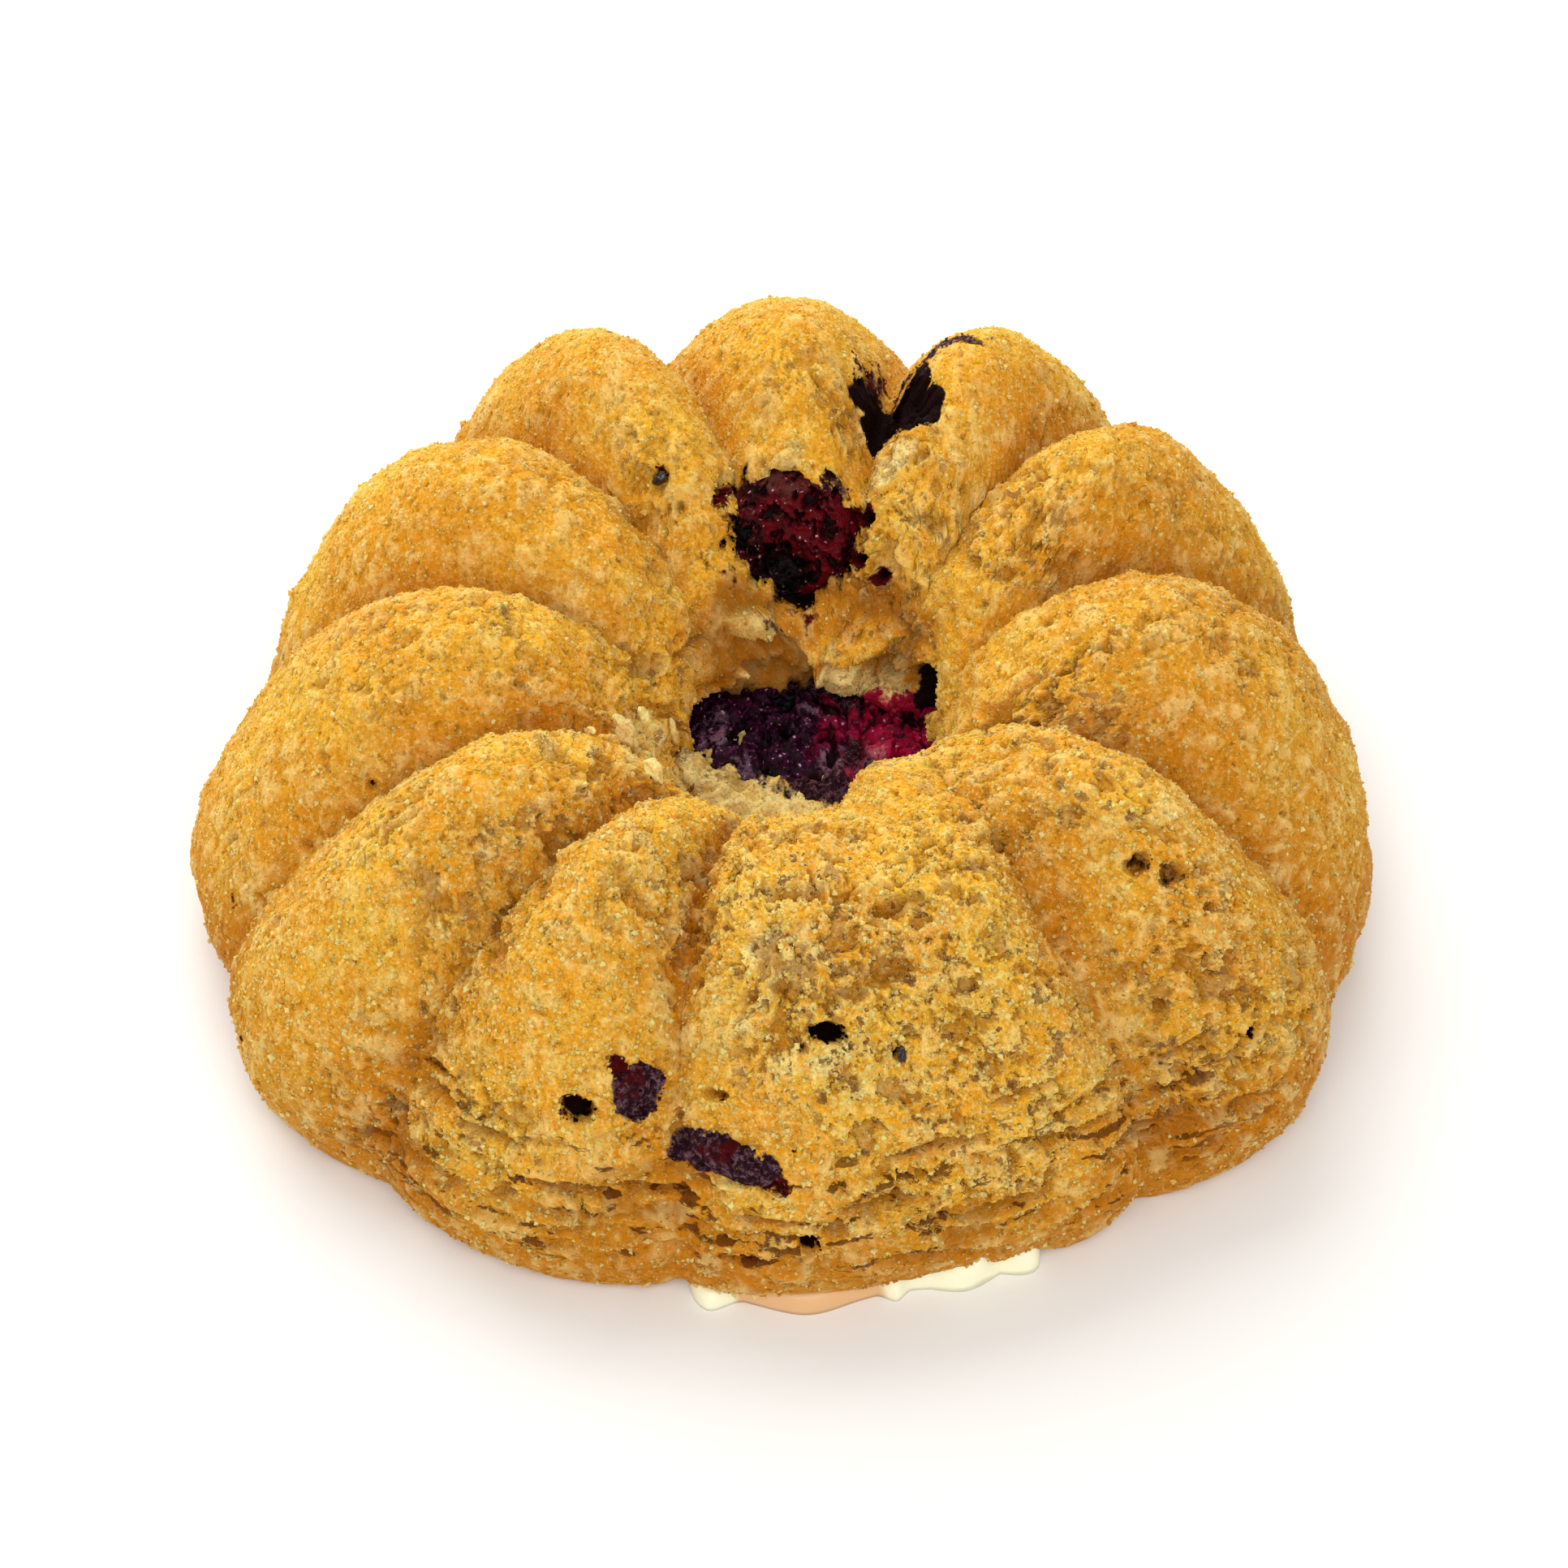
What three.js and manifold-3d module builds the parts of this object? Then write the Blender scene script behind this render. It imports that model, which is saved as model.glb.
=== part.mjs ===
// A small fluted ring muffin with fruit baked into it, turned out of its tin crown up, so that it
// stands on its iced face. Millimetres, +Z up, origin on the table under the middle of the muffin.
// -Y is the torn front, where the icing has been squeezed out past the rim; +X is to its right.
// Angles are in degrees round the muffin, 0 at the front and growing towards +X.

import * as THREE from "three";
import { mergeVertices } from "three/addons/utils/BufferGeometryUtils.js";
import Module from "manifold-3d";

const wasm = await Module();
wasm.setup();

// ---------------------------------------------------------------- driving dimensions

// Half cross-sections of the ring, one along a rib's ridge and one along the groove between ribs.
// throat: foot of the well's wall. crown: highest point. belly: widest point. tuck: how far the
// foot draws in under the belly. inner and outer are the superellipse powers of the two arcs.
const RIDGE = {
  throatR: 10.3, crownR: 28.0, crownZ: 32.8, bellyR: 46.8, tuck: 2.4, inner: 1.92, outer: 1.62,
};
const GROOVE = {
  throatR: 9.8, crownR: 23.5, crownZ: 26.3, bellyR: 44.6, tuck: 2.4, inner: 2.0, outer: 1.65,
};
const BELLY_Z = 7; // height of the widest point
const THROAT_Z = 12.5; // height where the well's wall meets its floor
const FLOOR_Z = 10; // lowest point of the well's floor

// Twelve uneven ribs: the grooves between them, and how much each rib swells or shrinks.
const GROOVE_ANGLES = [-163.8, -137, -105.5, -71.5, -43.5, -11.5, 15, 39, 68, 107, 136, 163.6];
const RIB_SWELLS = [
  [-180, -0.015], [-150, 0.014], [-120, -0.019], [-90, -0.02], [-58, 0.045], [-27, -0.007],
  [0, -0.042], [28, -0.035], [57, 0.052], [89, -0.008], [120, 0], [150, -0.006], [180, -0.015],
];
const RIB_POWER = 0.9; // below 1 the ribs are fuller and the grooves sharper
const FAINT_GROOVE = { angle: 15, width: 9, filled: 0.75 }; // it nearly vanished as the batter rose
// One groove strays to the left on its way up into the well: degrees, and the stations between
// which it does.
const GROOVE_DRIFT = { angle: -17, width: 16, by: 10, none: 2.65, whole: 1.6 };
const SWELL_RADII = { none: 15, whole: 35 }; // the swells come in between these radii
const LEAN = { x: 0.047, y: 0.15 }; // the muffin stands higher at the right and at the back
const WELL_SHIFT = { x: 2.2, whole: 8, none: 34 }; // the tin's post stood off centre; it fades out
const FLARES = [
  { angle: -86, width: 15, low: 2.0 }, // bellies that spread wider than their rib
  { angle: 88, width: 18, low: 0.5 },
];
const FLARE_HEIGHT = 6.5; // height above the belly over which a flare dies away

// Relief of the surface: height or depth of each kind of unevenness, and the size of its hills.
const LUMPS = { height: 0.35, size: 7 };
const CRAGS = { height: 0.5, size: 3, elsewhere: 0.45 }; // elsewhere: share left away from the tear
const LIP = { height: 0.45, size: 2.6 }; // crumb torn loose on the well's wall
const TEAR = {
  angle: 8, halfAngle: 15, softAngle: 7, radius: 32, halfWidth: 8, softWidth: 4, depth: 0.55,
}; // skin lost in the tin
const LEDGES = {
  angle: 2, halfAngle: 48, softAngle: 10, z: 10.5, halfHeight: 6, softHeight: 2, pitch: 3.1,
  height: 0.5, sway: 0.8, swaySize: 9,
}; // layers of crumb low on the front; sway: how far they wander, in pitches
const WELL_BULGES = [
  { angle: 180, halfAngle: 42, z: 16.5, halfHeight: 2.6, height: 1.7 }, // crumb that hangs over fruit
  { angle: 34, halfAngle: 24, z: 19, halfHeight: 7, height: 4 }, // ribs that rose into the well
  { angle: -75, halfAngle: 25, z: 22, halfHeight: 6, height: -2 }, // wall that stood back
];
const RELIEF_ENDS = { from: 3.5, to: 4 }; // stations on the foot between which the relief dies away

// Mesh fineness.
const COLUMNS_PER_RIB = 10;
const ROWS = { floor: 2, inner: 9, outer: 14, foot: 4 };
const STEP = { angle: 1, station: 0.01 }; // steps along the surface from which its normal is taken
const DRIFT_ROUNDS = 12; // rounds in which a column's angle is brought to its strayed groove
const WELD = 1e-4; // points nearer than this are one

const GAP = 0.3; // clearance between neighbouring solids

// Fruit in the crust: centre given by angle and station on the surface, and by how far it is sunk.
// size is the half length around, along the section and inwards. mouth is how far the hollow in
// the crust opens beyond the fruit. Stations are explained at sectionPoint.
const CRUST_FRUIT = [
  { name: "rear_berry", angle: 160.2, station: 1.93, size: [3.5, 3.6, 3.1], sink: 3.3, mouth: 3.4 },
  { name: "wall_berry", angle: -173.5, station: 1.43, size: [5.8, 5.5, 3.6], sink: 3.0, mouth: 3.0 },
  { name: "side_berry_upper", angle: -17.2, station: 2.52, size: [2.3, 2.5, 1.8], sink: 1.5, detail: 2 },
  {
    name: "side_berry_lower", angle: -6.4, station: 2.65, size: [3.9, 1.8, 1.7], sink: 1.4, turn: -24,
    detail: 2,
  },
];
// Fruit heaped in the bottom of the well: centre and half sizes along X, Y and Z. It is squeezed
// together, so that it fills its corners more than an ellipsoid does.
const WELL_FRUIT = [
  { name: "well_berry_left", centre: [-1.6, 4.4, 10.6], size: [7.0, 5.6, 3.3] },
  { name: "well_berry_right", centre: [9.5, 4.6, 11.2], size: [3.9, 4.9, 3.2] },
];
const SQUEEZED = 2.8; // power of the well fruit's superellipsoid, where 2 is an ellipsoid
const WELL_HEADROOM = 1.1; // hollow left above the fruit where it runs under the well's wall
// Dents in the fruit and in the edges of hollows: depth as a share of the radius, how many there
// are across it, and where in the noise they start, away from its even middle.
const DENTS = { skin: 0.07, mouth: 0.22, hole: 0.2, across: 1.9, start: 5 };
// Holes where the skin broke over a bubble or a sunken piece of fruit.
const HOLES = [
  { angle: -22.4, station: 2.58, radius: 1.15 },
  { angle: 5.6, station: 2.39, radius: 1.25 },
  { angle: -14.4, station: 2.25, radius: 0.9 },
  { angle: 2.2, station: 2.87, radius: 1.0 },
  { angle: 52, station: 2.33, radius: 1.3 },
];
const HOLE_SHAPE = [1, 0.8, 1.5]; // half sizes around, along and inwards, in radii
// Subdivisions of the round bodies.
const DETAIL = { fruit: 3, mouth: 2, hole: 1 };

// Icing under the muffin, in a recess inside the rim, with drips that ran out at the front.
const ICING = { thick: 1.2, inset: 2.6, wave: 0.5, bead: 4 }; // bead: width of the raised edge
const ICING_WAVES = [{ count: 7, phase: 0 }, { count: 11, phase: 40 }]; // round the tucked-in edge
const ICING_STEPS = { fine: 1.3, coarse: 6.5, fineFrom: -16, fineTo: 34 }; // degrees a column
// The edge from its shoulder down to the table: how far in from the outline, how high as a share of
// the height there, and how much it takes part in the lean.
const ICING_EDGE = [
  { inset: 0.7, share: 1, lean: 1 },
  { inset: 0, share: 0.45, lean: 0.7 },
  { inset: 0.25, share: 0, lean: 0 },
];
const RECESS_BELOW = 1; // the recess is cut from this far under the table
// The spill is thicker and reaches past the rim, and follows the foot outwards as it climbs.
const SPILL = { from: -11.5, to: 28, soft: 2.2, thicker: 0.4, past: 0.5, lean: 0.45 };
const DRIPS = [
  { angle: -8, width: 2.6, reach: 1.0, rise: 0 },
  { angle: 2.5, width: 4.2, reach: 0.6, rise: 0 },
  { angle: 11.4, width: 1.8, reach: 0.8, rise: 0.5 },
  { angle: 18.5, width: 3.6, reach: 1.2, rise: 1.1 },
  { angle: 20, width: 1.5, reach: 0.2, rise: 2.4 },
  { angle: 25, width: 2.6, reach: 1.1, rise: 1.2 },
];

// ---------------------------------------------------------------- small helpers

const radians = THREE.MathUtils.degToRad;
const clamp = THREE.MathUtils.clamp;

// Difference of two angles, between -180 and 180.
function turnBetween(a, b) {
  return THREE.MathUtils.euclideanModulo(a - b + 180, 360) - 180;
}

// A smooth hill: 1 at the middle, 0.37 at one width from it.
function hill(distance, width) {
  return Math.exp(-((distance / width) ** 2));
}

// How far a value is on its way from none (0) to whole (1), in a straight line and no further.
function share(value, { none, whole }) {
  return clamp((value - none) / (whole - none), 0, 1);
}

// A window that is 1 between from and to, and falls off softly outside.
function band(value, from, to, soft) {
  const inside = THREE.MathUtils.smoothstep(value, from - soft, from + soft);
  return inside * (1 - THREE.MathUtils.smoothstep(value, to - soft, to + soft));
}

// Large odd factors that scatter a lattice point's numbers over 32 bits, and the noise of each use.
const HASH = { i: 374761393, j: 668265263, k: 2147483550, seed: 40503, last: 1274126177 };
const SEEDS = { lumps: 1, crags: 2, ledges: 3, lip: 4, crustFruit: 10, wellFruit: 30, holes: 50 };

// A repeatable number between -1 and 1 for each point of a whole-number lattice.
function latticeValue(i, j, k, seed) {
  let h = Math.imul(i, HASH.i) + Math.imul(j, HASH.j) + Math.imul(k, HASH.k);
  h = Math.imul(h ^ (h >>> 13) ^ Math.imul(seed, HASH.seed), HASH.last);
  return ((h ^ (h >>> 16)) >>> 0) / 2 ** 31 - 1;
}

// Smooth noise between -1 and 1 at a point, with hills about size apart.
function noise(point, size, seed) {
  const [x, y, z] = point.map((value) => value / size);
  const [i, j, k] = [Math.floor(x), Math.floor(y), Math.floor(z)];
  const [u, v, w] = [x - i, y - j, z - k].map((t) => t * t * (3 - 2 * t));
  let sum = 0;
  for (let c = 0; c < 8; c++) {
    const [a, b, d] = [c & 1, (c >> 1) & 1, c >> 2];
    const weight = (a ? u : 1 - u) * (b ? v : 1 - v) * (d ? w : 1 - w);
    sum += weight * latticeValue(i + a, j + b, k + d, seed);
  }
  return sum;
}

// Turns a BufferGeometry into a manifold-3d solid, with its shared vertices merged.
function solidOf(geometry) {
  const plain = geometry.clone();
  plain.deleteAttribute("normal");
  plain.deleteAttribute("uv");
  const merged = mergeVertices(plain, WELD);
  return new wasm.Manifold(
    new wasm.Mesh({
      numProp: 3,
      vertProperties: merged.attributes.position.array,
      triVerts: new Uint32Array(merged.index.array),
    }),
  );
}

// Turns a manifold-3d solid back into a BufferGeometry.
function geometryOf(solid) {
  const mesh = solid.getMesh();
  const geometry = new THREE.BufferGeometry();
  geometry.setAttribute("position", new THREE.BufferAttribute(mesh.vertProperties, 3));
  geometry.setIndex(new THREE.BufferAttribute(mesh.triVerts, 1));
  geometry.computeVertexNormals();
  return geometry;
}

// A closed skin over rings of points: a pole, then rings of equal length, then a second pole.
// Rings run anticlockwise seen from above, and go from the pole on top outwards and down.
function skinOf(topPole, rings, bottomPole) {
  const columns = rings[0].length;
  const points = [topPole, ...rings.flat(), bottomPole];
  const faces = [];
  for (let c = 0; c < columns; c++) {
    const next = (c + 1) % columns;
    faces.push(0, 1 + c, 1 + next);
    for (let r = 0; r < rings.length - 1; r++) {
      const here = 1 + r * columns;
      const below = here + columns;
      faces.push(here + c, below + c, below + next);
      faces.push(here + c, below + next, here + next);
    }
    const last = 1 + (rings.length - 1) * columns;
    faces.push(points.length - 1, last + next, last + c);
  }
  const geometry = new THREE.BufferGeometry().setFromPoints(points);
  geometry.setIndex(faces);
  return geometry;
}

// ---------------------------------------------------------------- the cake

// Radius and height of one half section at a station. Stations run along the section:
// 0 to 1 over the well's floor, 1 to 2 up its wall to the crown, 2 to 3 from the crown down to the
// belly, and 3 to 4 down the foot to the table. Each arc is a quarter of a superellipse.
function sectionPoint(section, station) {
  const quarter = (Math.PI / 2) * (station - Math.ceil(station) + 1);
  const { throatR, crownR, crownZ, bellyR, tuck, inner, outer } = section;
  if (station <= 1)
    return { r: throatR * station, z: FLOOR_Z + (THROAT_Z - FLOOR_Z) * station ** 4 };
  if (station <= 2)
    return {
      r: crownR - (crownR - throatR) * Math.abs(Math.cos(quarter)) ** (2 / inner),
      z: THROAT_Z + (crownZ - THROAT_Z) * Math.sin(quarter) ** (2 / inner),
    };
  if (station <= 3)
    return {
      r: crownR + (bellyR - crownR) * Math.sin(quarter) ** (2 / outer),
      z: BELLY_Z + (crownZ - BELLY_Z) * Math.abs(Math.cos(quarter)) ** (2 / outer),
    };
  return { r: bellyR - tuck * (1 - Math.cos(quarter)), z: BELLY_Z * (1 - Math.sin(quarter)) };
}

// Degrees by which the grooves stray at a place.
function driftAt(angle, station) {
  const { by, angle: middle, width } = GROOVE_DRIFT;
  return by * share(station, GROOVE_DRIFT) * hill(turnBetween(angle, middle), width);
}

// How far a place is on its way from groove (0) to ridge (1).
function ribHeight(angle, station) {
  const wrapped = turnBetween(angle + driftAt(angle, station), 0);
  let after = GROOVE_ANGLES.findIndex((groove) => groove > wrapped);
  if (after < 0) after = 0;
  const before = (after + GROOVE_ANGLES.length - 1) % GROOVE_ANGLES.length;
  const start = GROOVE_ANGLES[before];
  const span = THREE.MathUtils.euclideanModulo(GROOVE_ANGLES[after] - start, 360);
  const along = THREE.MathUtils.euclideanModulo(wrapped - start, 360) / span;
  const height = Math.max(0, 1 - (2 * along - 1) ** 2) ** RIB_POWER;
  const fill = FAINT_GROOVE.filled * hill(turnBetween(wrapped, FAINT_GROOVE.angle), FAINT_GROOVE.width);
  return height + (1 - height) * fill;
}

// How much the muffin is swollen at an angle, between the ribs' own swells.
function swellAt(angle) {
  const wrapped = turnBetween(angle, 0);
  const after = RIB_SWELLS.findIndex(([rib]) => rib > wrapped);
  const [a, swellA] = RIB_SWELLS[after - 1];
  const [b, swellB] = RIB_SWELLS[after];
  return THREE.MathUtils.mapLinear(wrapped, a, b, swellA, swellB);
}

// The smooth surface, without relief: the two sections blended across each rib, the well moved
// off centre, the crown leaning, the ribs swollen and the bellies flared.
function cakePoint(angle, station) {
  const groove = sectionPoint(GROOVE, station);
  const ridge = sectionPoint(RIDGE, station);
  const rib = ribHeight(angle, station);
  const r = THREE.MathUtils.lerp(groove.r, ridge.r, rib);
  const z = THREE.MathUtils.lerp(groove.z, ridge.z, rib);
  const flare = FLARES.reduce((sum, f) => sum + f.low * hill(turnBetween(angle, f.angle), f.width), 0);
  const spread = r + (station > 2 ? flare * hill(z - BELLY_Z, FLARE_HEIGHT) : 0);
  const x = spread * Math.sin(radians(angle)) + WELL_SHIFT.x * share(r, WELL_SHIFT);
  const y = -spread * Math.cos(radians(angle));
  const lean = 1 + (LEAN.x * x + LEAN.y * y) / RIDGE.bellyR;
  const swell = 1 + swellAt(angle) * share(Math.hypot(x, y), SWELL_RADII);
  return new THREE.Vector3(x * swell, y * swell, z * lean);
}

// Surface point with its outward normal, and the directions around the muffin and down the section.
function surfaceFrame(angle, station) {
  const point = cakePoint(angle, station);
  const around = cakePoint(angle + STEP.angle, station).sub(cakePoint(angle - STEP.angle, station));
  around.normalize();
  const down = cakePoint(angle, station + STEP.station).sub(cakePoint(angle, station - STEP.station));
  down.normalize();
  const normal = new THREE.Vector3().crossVectors(down, around).normalize();
  down.crossVectors(around, normal).normalize();
  return { point, around, down, normal };
}

// A window on the surface round an angle and a radius or height.
function patch(angle, across, { angle: middle, halfAngle, softAngle }, centre, half, soft) {
  const along = band(turnBetween(angle, middle), -halfAngle, halfAngle, softAngle);
  return along * band(across, centre - half, centre + half, soft);
}

// Height of the relief over the smooth surface at a point of it.
function reliefAt(point, angle, station) {
  const place = point.toArray();
  const [x, y, z] = place;
  const radius = Math.hypot(x, y);
  const torn = patch(angle, radius, TEAR, TEAR.radius, TEAR.halfWidth, TEAR.softWidth);
  const layered = patch(angle, z, LEDGES, LEDGES.z, LEDGES.halfHeight, LEDGES.softHeight);
  const cragged = Math.min(1, CRAGS.elsewhere + torn);
  const phase = z / LEDGES.pitch + LEDGES.sway * noise([x, y, 0], LEDGES.swaySize, SEEDS.ledges);
  const bulges = WELL_BULGES.map(
    (bulge) =>
      bulge.height *
      hill(turnBetween(angle, bulge.angle), bulge.halfAngle) * hill(z - bulge.z, bulge.halfHeight),
  );
  const everywhere =
    LUMPS.height * noise(place, LUMPS.size, SEEDS.lumps) +
    CRAGS.height * cragged * noise(place, CRAGS.size, SEEDS.crags) -
    TEAR.depth * torn;
  if (station > 2) return everywhere + LEDGES.height * layered * Math.sin(2 * Math.PI * phase);
  if (station <= 1 || station === 2) return everywhere;
  const bulge = bulges.reduce((sum, height) => sum + height, 0);
  return everywhere + bulge + LIP.height * noise(place, LIP.size, SEEDS.lip);
}

// Stations of the rows, from just off the floor's centre to the foot.
function rowStations() {
  const stations = [];
  Object.values(ROWS).forEach((count, part) => {
    for (let i = 1; i <= count; i++) stations.push(part + i / count);
  });
  return stations;
}

// Angles of the columns, spread evenly over each rib so that every groove keeps its crease.
function columnAngles() {
  return GROOVE_ANGLES.flatMap((start, i) => {
    const end = GROOVE_ANGLES[(i + 1) % GROOVE_ANGLES.length];
    const span = THREE.MathUtils.euclideanModulo(end - start, 360);
    return Array.from({ length: COLUMNS_PER_RIB }, (_, c) => start + (span * c) / COLUMNS_PER_RIB);
  });
}

// The angle at which a column passes a station: it strays with its groove.
function strayedAngle(column, station) {
  let angle = column;
  for (let i = 0; i < DRIFT_ROUNDS; i++) angle = column - driftAt(angle, station);
  return angle;
}

// The whole cake before anything is cut from it.
function cakeBlank() {
  const columns = columnAngles();
  const top = cakePoint(0, 0);
  const rings = rowStations().map((station) =>
    columns.map((column) => {
      const angle = strayedAngle(column, station);
      if (station >= 4) return cakePoint(angle, station).setZ(0);
      const { point, normal } = surfaceFrame(angle, station);
      const kept = share(station, { none: RELIEF_ENDS.to, whole: RELIEF_ENDS.from });
      return point.addScaledVector(normal, kept * reliefAt(point, angle, station));
    }),
  );
  return skinOf(top, rings, new THREE.Vector3(0, 0, 0));
}

// ---------------------------------------------------------------- fruit

// A closed lump: an icosphere stretched to half sizes, dented by noise and set in a frame.
// basis is a Matrix4 that carries the lump from its own axes to its place. power is that of the
// superellipsoid |x|^n + |y|^n + |z|^n = 1 that the icosphere is first pushed out to.
function lump(size, basis, roughness, seed, detail, power = 2) {
  const ball = mergeVertices(bare(new THREE.IcosahedronGeometry(1, detail)), WELD);
  const position = ball.attributes.position;
  const p = new THREE.Vector3();
  for (let i = 0; i < position.count; i++) {
    p.fromBufferAttribute(position, i);
    const place = p.toArray().map((value) => DENTS.across * value + DENTS.start);
    const dent = 1 + roughness * noise(place, 1, seed);
    const norm = p.toArray().reduce((sum, value) => sum + Math.abs(value) ** power, 0) ** (1 / power);
    p.multiplyScalar(dent / norm).multiply(size);
    position.setXYZ(i, p.x, p.y, p.z);
  }
  return ball.applyMatrix4(basis);
}

// A geometry with nothing but its positions.
function bare(geometry) {
  geometry.deleteAttribute("normal");
  geometry.deleteAttribute("uv");
  return geometry;
}

// Frame of a piece of fruit in the crust: X around the muffin, Y down the section, Z outwards.
function crustBasis({ angle, station, sink = 0, turn = 0 }, lift = 0) {
  const { point, around, down, normal } = surfaceFrame(angle, station);
  const basis = new THREE.Matrix4().makeBasis(around, down.clone().negate(), normal);
  basis.multiply(new THREE.Matrix4().makeRotationZ(radians(turn)));
  return basis.setPosition(point.addScaledVector(normal, lift - sink));
}

// Half sizes as a vector, each larger by a margin.
function grown(size, by) {
  return new THREE.Vector3(...size).addScalar(by);
}

// A berry held in the crust, and the hollow that it lies in. A sunken one gets a ragged mouth.
function crustFruit(fruit, seed) {
  const basis = crustBasis(fruit);
  const detail = fruit.detail ?? DETAIL.fruit;
  const berry = lump(grown(fruit.size, 0), basis, DENTS.skin, seed, detail);
  let hollow = solidOf(lump(grown(fruit.size, GAP), basis, DENTS.skin, seed, detail));
  if (fruit.mouth) {
    const [a, b] = fruit.size;
    const opening = new THREE.Vector3(a, b, fruit.mouth);
    const place = crustBasis(fruit, fruit.sink);
    hollow = hollow.add(solidOf(lump(opening, place, DENTS.mouth, seed + 1, DETAIL.mouth)));
  }
  return { name: fruit.name, berry, hollow };
}

// A berry in the bottom of the well, with headroom over it where the wall has been eaten away.
function wellFruit(fruit, seed) {
  const [x, y, z] = fruit.centre;
  const place = new THREE.Matrix4().makeTranslation(x, y, z);
  const raised = new THREE.Matrix4().makeTranslation(x, y, z + WELL_HEADROOM);
  const body = (margin, at) =>
    lump(grown(fruit.size, margin), at, DENTS.skin, seed, DETAIL.fruit, SQUEEZED);
  const hollow = solidOf(body(GAP, place)).add(solidOf(body(GAP, raised)));
  return { name: fruit.name, berry: body(0, place), hollow };
}

// The body that cuts a small hole.
function holeCutter(hole, seed) {
  const size = new THREE.Vector3(...HOLE_SHAPE).multiplyScalar(hole.radius);
  return solidOf(lump(size, crustBasis(hole), DENTS.hole, seed, DETAIL.hole));
}

// ---------------------------------------------------------------- icing

// Outline and height of the icing at an angle: tucked inside the rim all round, and out past it
// over the spill, where drips reach out and rise up the foot.
function icingEdge(angle) {
  const foot = cakePoint(angle, 4);
  const rim = Math.hypot(foot.x, foot.y);
  const spill = band(turnBetween(angle, 0), SPILL.from, SPILL.to, SPILL.soft);
  const hills = DRIPS.map((drip) => ({ ...drip, share: hill(turnBetween(angle, drip.angle), drip.width) }));
  const reach = hills.reduce((sum, drip) => Math.max(sum, drip.reach * drip.share), 0);
  const rise = hills.reduce((sum, drip) => Math.max(sum, drip.rise * drip.share), 0);
  const waves = ICING_WAVES.map(({ count, phase }) => Math.sin(radians(count * angle + phase)));
  const inside = rim - ICING.inset + ICING.wave * (waves[0] + waves[1]);
  const outside = rim + SPILL.past + reach;
  return {
    direction: new THREE.Vector2(Math.sin(radians(angle)), -Math.cos(radians(angle))),
    radius: THREE.MathUtils.lerp(inside, outside, spill),
    height: ICING.thick + (SPILL.thicker + rise) * spill,
    lean: SPILL.lean * rise * spill,
  };
}

// Angles of the icing's columns: close together over the spill, wide apart elsewhere.
function icingAngles() {
  const { fine, coarse, fineFrom, fineTo } = ICING_STEPS;
  const angles = [];
  for (let angle = fineFrom; angle < fineTo; angle += fine) angles.push(angle);
  for (let angle = fineTo; angle < fineFrom + 360 - coarse / 2; angle += coarse) angles.push(angle);
  return angles;
}

// The icing as one solid, or grown by a margin to cut its recess into the cake.
function icingSkin(margin) {
  const floor = margin > 0 ? -RECESS_BELOW : 0;
  const level = ICING.thick + margin;
  const edges = icingAngles().map(icingEdge);
  const placed = (edge, r, z) => new THREE.Vector3(r * edge.direction.x, r * edge.direction.y, z);
  const plateau = edges.map((edge) => placed(edge, edge.radius + margin - ICING.bead, level));
  const rim = ICING_EDGE.map(({ inset, share: up, lean }) =>
    edges.map((edge) => {
      const r = edge.radius + margin - inset + lean * edge.lean;
      return placed(edge, r, floor + (edge.height + margin - floor) * up);
    }),
  );
  return skinOf(new THREE.Vector3(0, 0, level), [plateau, ...rim], new THREE.Vector3(0, 0, floor));
}

// ---------------------------------------------------------------- assembly

const FINISH = {
  cake: { color: 0xcf9637, roughness: 0.85 },
  icing: { color: 0xe9d6a4, roughness: 0.35 },
  rear_berry: { color: 0x1c0c12, roughness: 0.25 },
  wall_berry: { color: 0x4a0b17, roughness: 0.4 },
  side_berry_upper: { color: 0x4d2c33, roughness: 0.7 },
  side_berry_lower: { color: 0x522c36, roughness: 0.7 },
  well_berry_left: { color: 0x3a1430, roughness: 0.4 },
  well_berry_right: { color: 0x7a1230, roughness: 0.35 },
};

function named(name, geometry) {
  const mesh = new THREE.Mesh(geometry, new THREE.MeshStandardMaterial({ ...FINISH[name], metalness: 0 }));
  mesh.name = name;
  return mesh;
}

const fruits = [
  ...CRUST_FRUIT.map((fruit, i) => crustFruit(fruit, SEEDS.crustFruit + 2 * i)),
  ...WELL_FRUIT.map((fruit, i) => wellFruit(fruit, SEEDS.wellFruit + 2 * i)),
];
const cutters = [
  ...fruits.map((fruit) => fruit.hollow),
  ...HOLES.map((hole, i) => holeCutter(hole, SEEDS.holes + i)),
  solidOf(icingSkin(GAP)),
];
const cake = cutters.reduce((solid, cutter) => solid.subtract(cutter), solidOf(cakeBlank()));

const muffin = new THREE.Group();
muffin.add(named("cake", geometryOf(cake)));
muffin.add(named("icing", icingSkin(0)));
fruits.forEach(({ name, berry }) => muffin.add(named(name, berry)));

export default muffin;
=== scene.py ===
# %% [markdown]
# # A fluted fruit muffin, cell by cell
#
# The subject is a small ring muffin that was baked in a fluted tin and turned out crown up. Its
# front was torn when it came out of the tin, four patches of fruit show in the crust, more fruit
# lies in the bottom of the well, and icing was squeezed out under the front of its foot.
#
# The solid model gives every size: this script only dresses it. A real muffin is one sponge, so
# the sponge is one closed surface, worked out with numpy from the same half sections as the solid,
# and fine enough to carry pores, crags and slits as real relief. What is finer than its faces is
# left to loose crumbs, and what is finer than those to the material.

# %% Frame
import math
from itertools import product

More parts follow.
